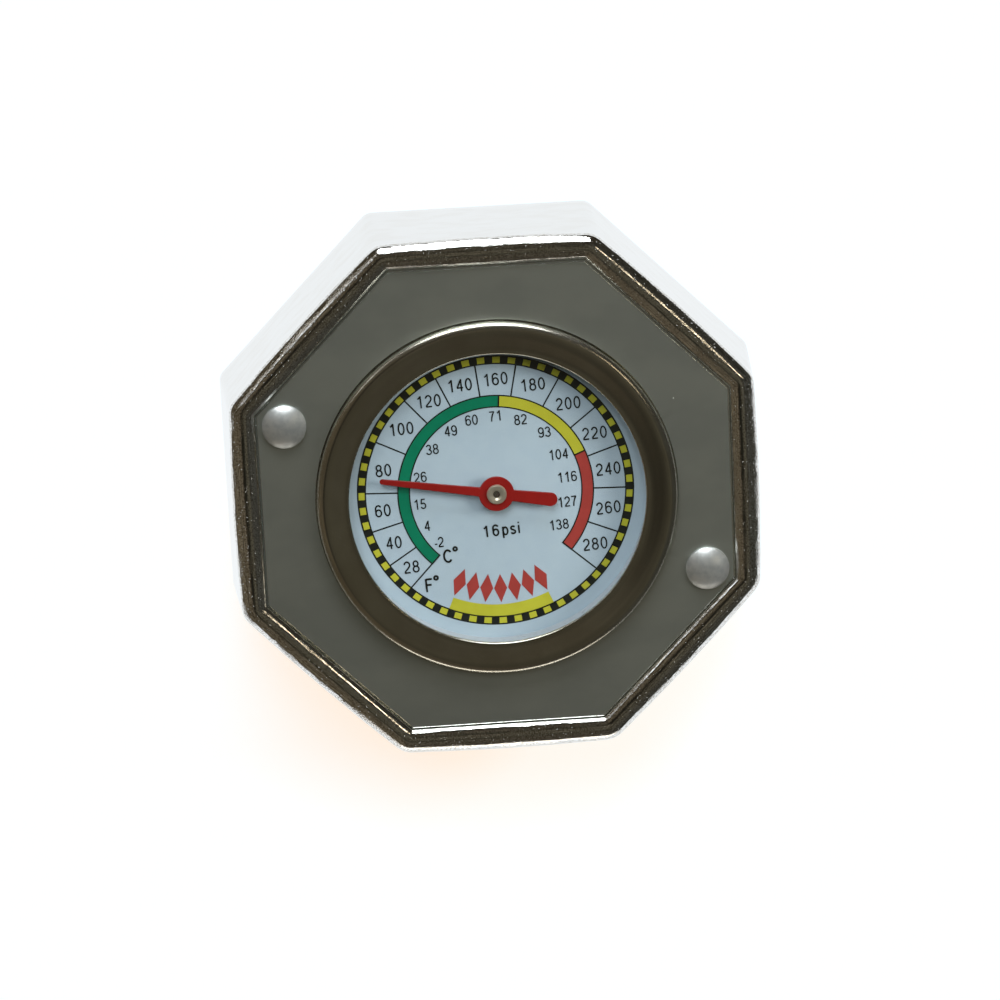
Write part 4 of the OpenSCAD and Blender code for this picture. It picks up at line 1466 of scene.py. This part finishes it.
    def _print_dividers(self) -> None:
        """Prints the lines between the numbers."""
        form = Form()
        for angle in self.dividers:
            self._spoke(form, self.band_out, self.ring_in + self.lap, angle, Ink.GROUND)
        form.piece("scale_dividers", Body.CAP, BLACK)

    def _print_numbers(self) -> None:
        """Prints both rows of numbers and the units."""
        middles = [(a + b) / 2 for a, b in zip(self.dividers, self.dividers[1:])]
        outer, inner, units = Form(), Form(), Form()
        for angle, f_value, c_value in zip(middles, map(str, self.fahrenheit), map(str, self.celsius)):
            radius = self.inner_r_long if len(c_value) == 3 else self.inner_r
            self._label(outer, Label(f_value, polar(self.outer_r, angle), self.outer_h))
            self._label(inner, Label(c_value, polar(radius, angle), self.inner_h, self.inner_space))
        for label in self.units:
            self._label(units, label)
        outer.piece("fahrenheit_numbers", Body.CAP, BLACK)
        inner.piece("celsius_numbers", Body.CAP, BLACK)
        units.piece("unit_letters", Body.CAP, BLACK)

    def _label(self, form: Form, label: Label) -> None:
        """Adds upright lettering.

        Args:
            form: the form that takes it.
            label: the lettering.
        """
        spin = Matrix.Rotation(math.radians(self.turn), 2)
        starts = [0.0]
        for letter in label.words:
            starts.append(starts[-1] + label.space * ROOM.get(letter, 1.0))
        middle = (starts[-1] - (label.space - DIGIT_W)) / 2
        size, width, high = label.height, label.stroke * label.height, self._height(Ink.LINES)
        for letter, start in zip(label.words, starts):
            for line in letter_strokes(letter):
                flat = [spin @ Vector(((x + start - middle) * size, (y - 0.5) * size)) for x, y in line]
                placed = [(p.x + label.centre[0], p.y + label.centre[1]) for p in flat]
                form.stroke(placed, width, self.top, high)

    def _print_foot(self) -> None:
        """Prints the yellow foot of the dial and the row of red lozenges above it."""
        foot, row = Form(), Form()
        self._sector(foot, self.foot_in, self.ring_in + self.lap, self.foot_from, self.foot_to, Ink.GROUND)
        foot.piece("foot_segment", Body.CAP, YELLOW)
        pitch = (self.lozenge_to - self.lozenge_from) / self.lozenges
        middle = (self.lozenge_in + self.lozenge_out) / 2
        reach = pitch * self.lozenge_share / 2
        for k in range(self.lozenges):
            a = self.lozenge_from + pitch * (k + 0.5)
            outline = [polar(self.lozenge_out, a), polar(middle, a + reach),
                       polar(self.lozenge_in, a), polar(middle, a - reach)]
            row.prism(outline, self.top, self._height(Ink.OVER))
        row.piece("lozenge_row", Body.CAP, RED)


@dataclass
class Needle:
    """Red pointer, its metal pin and the shaft below it."""

    azimuth: float = 170.3
    length: float = 17.2
    tail: float = 9.0
    tip_w: float = 0.8
    root_w: float = 1.5
    tail_w: float = 2.05
    hub_r: float = 2.6
    pin_r: float = 1.45
    pin_edge: tuple[Flat, ...] = ((0.0, 0.16), (0.05, 0.06), (0.16, 0.0))
    dish: tuple[Flat, ...] = ((0.98, 0.02), (0.86, 0.08), (0.5, 0.38))
    shaft_r: float = 0.5
    edge: float = 0.13

    def build(self) -> None:
        """Builds the pointer and its pin."""
        box = Span.of("pointer")
        tip, tail = self.tip_w / 2, self.tail_w / 2
        root = (0.0, self.root_w / 2)
        front = arc((self.length - tip, 0), tip, 0, 90, steps=6)
        back = arc((tail - self.tail, 0), tail, 90, 180, steps=8)
        join_a = self._on_hub(front[-1], root)
        join_b = self._on_hub(back[0], root)
        start, end = (math.degrees(math.atan2(p[1], p[0])) for p in (join_a, join_b))
        upper = front + arc((0, 0), self.hub_r, start, end, steps=20) + back
        lower = [(x, -y) for x, y in reversed(upper[1:-1])]
        blade = Form().prism(upper + lower, box.low.z, box.high.z).turned(self.azimuth)
        pointer = blade.piece("needle_blade", Body.NEEDLE, NEEDLE)
        soften(pointer, self.edge)
        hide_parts("pointer")
        self._build_pin()
        dress({"pointer_shaft": PROBE, "shaft_collar": PROBE})

    def _on_hub(self, outside: Flat, inside: Flat) -> Flat:
        """Where a straight edge of the blade meets the hub's circle.

        Args:
            outside: the edge's end outside the hub.
            inside: a point of its line inside the hub.

        Returns:
            The meeting point.
        """
        start = Vector(outside)
        way = Vector(inside) - start
        square, along, beyond = way.dot(way), start.dot(way), start.dot(start) - self.hub_r ** 2
        share = (-along - math.sqrt(along * along - square * beyond)) / square
        return tuple(start + way * share)

    def _build_pin(self) -> None:
        """Builds the pin's head with its dimple."""
        box = Span.of("pointer_hub")
        profile = [(self.shaft_r, box.low.z), (self.pin_r, box.low.z),
                   *((self.pin_r - inset, box.high.z - down) for inset, down in self.pin_edge),
                   *((radius, box.high.z - down) for radius, down in self.dish)]
        pin = Form().lathe(profile, steps=96).piece("pointer_pin", Body.NEEDLE, PIN, crease=25)
        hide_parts("pointer_hub")


@dataclass(frozen=True)
class Coil:
    """Sizes of a wound piece. Its pitch is closer over its first and last turn."""

    radius: float
    wire: float
    turns: float
    lead: float

    def line(self, low: float, high: float, per_turn: int = 40) -> Ring:
        """Centre line of the wire.

        Args:
            low: height of the coil's foot.
            high: height of its top.
            per_turn: points in each turn.

        Returns:
            The points of the line.
        """
        count = round(self.turns * per_turn)
        share = 1 / self.turns
        slow = self.lead * share
        mid = (1 - 2 * slow) / (1 - 2 * share)
        line: Ring = []
        for i in range(count + 1):
            t = i / count
            rise = t / share * slow if t < share else slow + (t - share) * mid
            if t > 1 - share:
                rise = 1 - (1 - t) / share * slow
            turn = 2 * math.pi * self.turns * t
            z = low + self.wire / 2 + (high - low - self.wire) * rise
            line.append((self.radius * math.cos(turn), self.radius * math.sin(turn), z))
        return line


@dataclass
class Stem:
    """Probe, bushes, bimetal coil, clamping nut and washers."""

    coil: Coil = Coil(radius=1.35, wire=0.4, turns=10, lead=0.96)

    def build(self) -> None:
        """Builds the coil and dresses the turned pieces."""
        box = Span.of("bimetal_coil")
        line = self.coil.line(box.low.z, box.high.z)
        winding = Form().tube(line, self.coil.wire / 2, sides=10)
        coil = winding.piece("bimetal_winding", Body.CAP, BIMETAL)
        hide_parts("bimetal_coil")
        dress({"stem_fitting": BRASS, "upper_bearing": BRASS, "lower_guide": BRASS, "probe_tube": PROBE,
               "coil_anchor": PROBE, "sealing_washer": SEAL, "lock_washer": ZINC, "stem_nut": ZINC})


@dataclass
class ValveTrain:
    """Bayonet shell, spring disc, bell, both valves and their springs."""

    pressure: Coil = Coil(radius=12.9, wire=2.4, turns=5.0, lead=0.85)
    pressure_anchor: float = -0.4
    vacuum: Coil = Coil(radius=5.3, wire=0.5, turns=4.5, lead=0.96)
    vacuum_anchor: float = -0.05

    def build(self) -> None:
        """Builds the springs and dresses the pressed and turned pieces."""
        self._build_spring("pressure_spring", "pressure_winding", Body.CAP, "pressure_lift", self.pressure,
                           Span.of("diaphragm_disc").high.z + self.pressure_anchor)
        self._build_spring("vacuum_spring", "vacuum_winding", Body.PRESSURE, "vacuum_drop", self.vacuum,
                           Span.of("vacuum_spring").low.z + self.vacuum_anchor)
        dress({"cap_shell": ZINC, "diaphragm_disc": SPRING, "spring_bell": PROBE, "valve_plate": ZINC,
               "valve_gasket": SEAT, "vacuum_valve": BRASS, "vacuum_clip": PROBE})

    @staticmethod
    def _build_spring(node: str, name: str, body: Body, joint: str, coil: Coil, anchor: float) -> None:
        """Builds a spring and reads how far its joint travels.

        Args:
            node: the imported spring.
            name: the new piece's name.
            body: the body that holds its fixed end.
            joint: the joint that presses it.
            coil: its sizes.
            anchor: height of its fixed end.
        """
        box = Span.of(node)
        winding = Form().tube(coil.line(box.low.z, box.high.z), coil.wire / 2, sides=20)
        spring = winding.piece(name, body, SPRING)
        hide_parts(node)
        travel = next(j["range_m"][1] for j in frame["joints"] if j["name"] == joint) / MM
        keep = 1 - travel / (box.high.z - box.low.z)
        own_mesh(spring)


# Studio

@dataclass
class PhotoCamera:
    """Camera at the photograph's viewing angle."""

    lens: float = 137.76
    distance: float = 557.0
    tilt_x: float = 0.0622421
    tilt_y: float = -0.2445941
    roll: float = 3.21165
    shift_x: float = -0.3697
    shift_y: float = 0.3584
    sensor: float = 36.0
    clip: Flat = (0.01, 20.0)

    def build(self) -> None:
        """Places the camera."""
        axis = Vector((self.tilt_x, self.tilt_y, math.sqrt(1 - self.tilt_x ** 2 - self.tilt_y ** 2)))
        lean = Vector((0, 0, 1)).rotation_difference(axis).to_matrix()
        look = lean @ Matrix.Rotation(math.radians(self.roll), 3, "Z")
        back = look.transposed()
        place = back @ Vector((-self.shift_x, -self.shift_y, self.distance)) * MM
        place.z += Span.of("face_plate").high.z * MM
        data = bpy.data.cameras.new("photo_camera")
        data.lens = self.lens
        data.sensor_width = self.sensor
        data.clip_start, data.clip_end = self.clip
        camera = bpy.data.objects.new("photo_camera", data)
        camera.matrix_world = Matrix.Translation(place) @ back.to_4x4()
        bpy.context.scene.collection.objects.link(camera)
        bpy.context.scene.camera = camera


@dataclass(frozen=True)
class Softbox:
    """Oval lamp that faces the object. Its distance and sizes are in metres.

    A lamp that isn't mirrored lights the object without showing in the metal.
    """

    name: str
    azimuth: float
    elevation: float
    distance: float
    width: float
    height: float
    power: float
    colour: Colour
    mirrored: bool = True
    aim: Point = (0.0, 0.0, 0.02)

    def build(self) -> None:
        """Places the lamp."""
        a, e = math.radians(self.azimuth), math.radians(self.elevation)
        out = Vector((math.cos(a) * math.cos(e), math.sin(a) * math.cos(e), math.sin(e)))
        data = bpy.data.lights.new(self.name, "AREA")
        data.shape = "ELLIPSE"
        data.size, data.size_y = self.width, self.height
        data.energy = self.power
        data.color = self.colour
        lamp = bpy.data.objects.new(self.name, data)
        lamp.location = out * self.distance + Vector(self.aim)
        lamp.rotation_mode = "QUATERNION"
        lamp.rotation_quaternion = (-out).to_track_quat("-Z", "Y")
        lamp.visible_glossy = self.mirrored
        bpy.context.scene.collection.objects.link(lamp)


@dataclass
class Studio:
    """White floor, world and lamps."""

    floor_half: float = 4.0
    clutter: float = 7.0
    clutter_from: Flat = (0.35, 0.65)
    clutter_least: float = 0.5
    overhead_left: Colour = (0.003, 0.003, 0.002)
    overhead_right: Colour = (0.078, 0.071, 0.050)
    zenith: Colour = (0.085, 0.074, 0.052)
    near_side: Colour = (0.088, 0.072, 0.048)
    right_side: Colour = (0.042, 0.041, 0.034)
    far_side: Colour = (0.030, 0.024, 0.015)
    room_across: Flat = (-0.5, 0.7)
    far_from: Flat = (0.3, 0.9)
    overhead_across: Flat = (-0.40, 0.50)
    overhead_from: Flat = (0.86, 0.96)
    zenith_from: Flat = (0.972, 0.992)
    paper: Colour = (0.80, 0.80, 0.80)
    lit: Colour = (0.0, 0.27, 0.46)
    glow: Colour = (1.0, 0.80, 0.64)
    mirrored: Colour = (0.92, 0.95, 0.97)
    backdrop: Colour = (1.0, 1.0, 1.0)
    boxes: tuple[Softbox, ...] = (
        Softbox("key_box", 90.0, 24.0, 0.62, 0.52, 0.20, 2.4, (0.94, 0.98, 1.0)),
        Softbox("warm_box", 27.0, 46.5, 0.62, 0.12, 0.05, 0.06, (1.0, 0.84, 0.58)),
        Softbox("low_box", 143.0, 30.5, 0.62, 0.14, 0.045, 0.024, (0.90, 0.95, 1.0)),
        Softbox("line_box", 132.0, 24.2, 0.62, 0.50, 0.018, 0.04, (1.0, 0.94, 0.82)),
        Softbox("backdrop_box", 270.0, 3.0, 0.62, 0.72, 0.16, 0.56, (1.0, 0.94, 0.85)),
        Softbox("side_box", 16.0, 38.0, 0.24, 0.12, 0.12, 0.50, (1.0, 0.98, 0.92), mirrored=False),
        Softbox("ceiling_box", 106.0, 56.0, 0.80, 0.44, 0.44, 5.3, (0.92, 0.97, 1.0), mirrored=False),
    )

    def build(self) -> None:
        """Builds the studio."""
        bpy.context.scene.view_settings.view_transform = "Standard"
        self._build_world()
        self._build_floor()
        for box in self.boxes:
            box.build()

    def _build_world(self) -> None:
        """White behind the object, a dim room in what it mirrors."""
        world = bpy.data.worlds.new("studio_world")
        bpy.context.scene.world = world
        tree = Tree(world)
        way = tree.node("ShaderNodeTexCoord", {}, {}, "Generated")
        right, ahead, up = (tree.axis(way, index) for index in range(3))
        room = tree.blend(right.between(*self.room_across), self.near_side, self.right_side)
        room = tree.blend(ahead.between(*self.far_from), room, self.far_side)
        overhead = tree.blend(right.between(*self.overhead_across), self.overhead_left,
                              self.overhead_right)
        sky = tree.blend(up.between(*self.overhead_from), room, overhead)
        sky = tree.blend(up.between(*self.zenith_from), sky, self.zenith)
        clutter = tree.node("ShaderNodeTexNoise", {}, {"Vector": way, "Scale": self.clutter, "Detail": 3.0})
        level = self.clutter_least + clutter.between(*self.clutter_from)
        sky = tree.vector("SCALE", {"Vector": sky, "Scale": level})
        camera = tree.node("ShaderNodeLightPath", {}, {}, "Is Camera Ray")
        seen = tree.blend(camera, sky, self.backdrop)
        light = tree.node("ShaderNodeBackground", {}, {"Color": seen, "Strength": 1.0})
        tree.node("ShaderNodeOutputWorld", {}, {"Surface": light})

    def _build_floor(self) -> None:
        """White floor that keeps a faint warm shadow and is clear from below."""
        half = self.floor_half
        corners = [(-half, -half, 0), (half, -half, 0), (half, half, 0), (-half, half, 0)]
        mesh = bpy.data.meshes.new("floor")
        mesh.from_pydata(corners, [], [(0, 1, 2, 3)])
        floor = bpy.data.objects.new("floor", mesh)
        bpy.context.scene.collection.objects.link(floor)
        material = bpy.data.materials.new("floor_white")
        tree = Tree(material)
        camera, glossy, through = (tree.node("ShaderNodeLightPath", {}, {}, f"Is {kind} Ray")
                                   for kind in ("Camera", "Glossy", "Transmission"))
        paper, lit = (tree.node("ShaderNodeBsdfDiffuse", {}, {"Color": colour})
                      for colour in (self.paper, self.lit))
        glow, mirrored = (tree.node("ShaderNodeEmission", {}, {"Color": colour, "Strength": 1.0})
                          for colour in (self.glow, self.mirrored))
        shown = tree.node("ShaderNodeAddShader", {}, {0: lit, 1: glow})
        top = tree.pick(glossy + through, tree.pick(camera, paper, shown), mirrored)
        below = tree.node("ShaderNodeNewGeometry", {}, {}, "Backfacing")
        clear = tree.node("ShaderNodeBsdfTransparent", {}, {})
        tree.surface(tree.pick(below, top, clear))
        mesh.materials.append(material)


def main() -> None:
    """Builds everything in order."""
    logging.basicConfig(level=logging.INFO, format="%(name)s: %(message)s")
    PhotoCamera().build()
    for part in (Housing(), FacePlate(), Window(), DialPrint(), Needle(), Stem(), ValveTrain()):
        LOG.info("building %s", type(part).__name__)
        part.build()
    Studio().build()


if __name__ == "__main__":
    main()
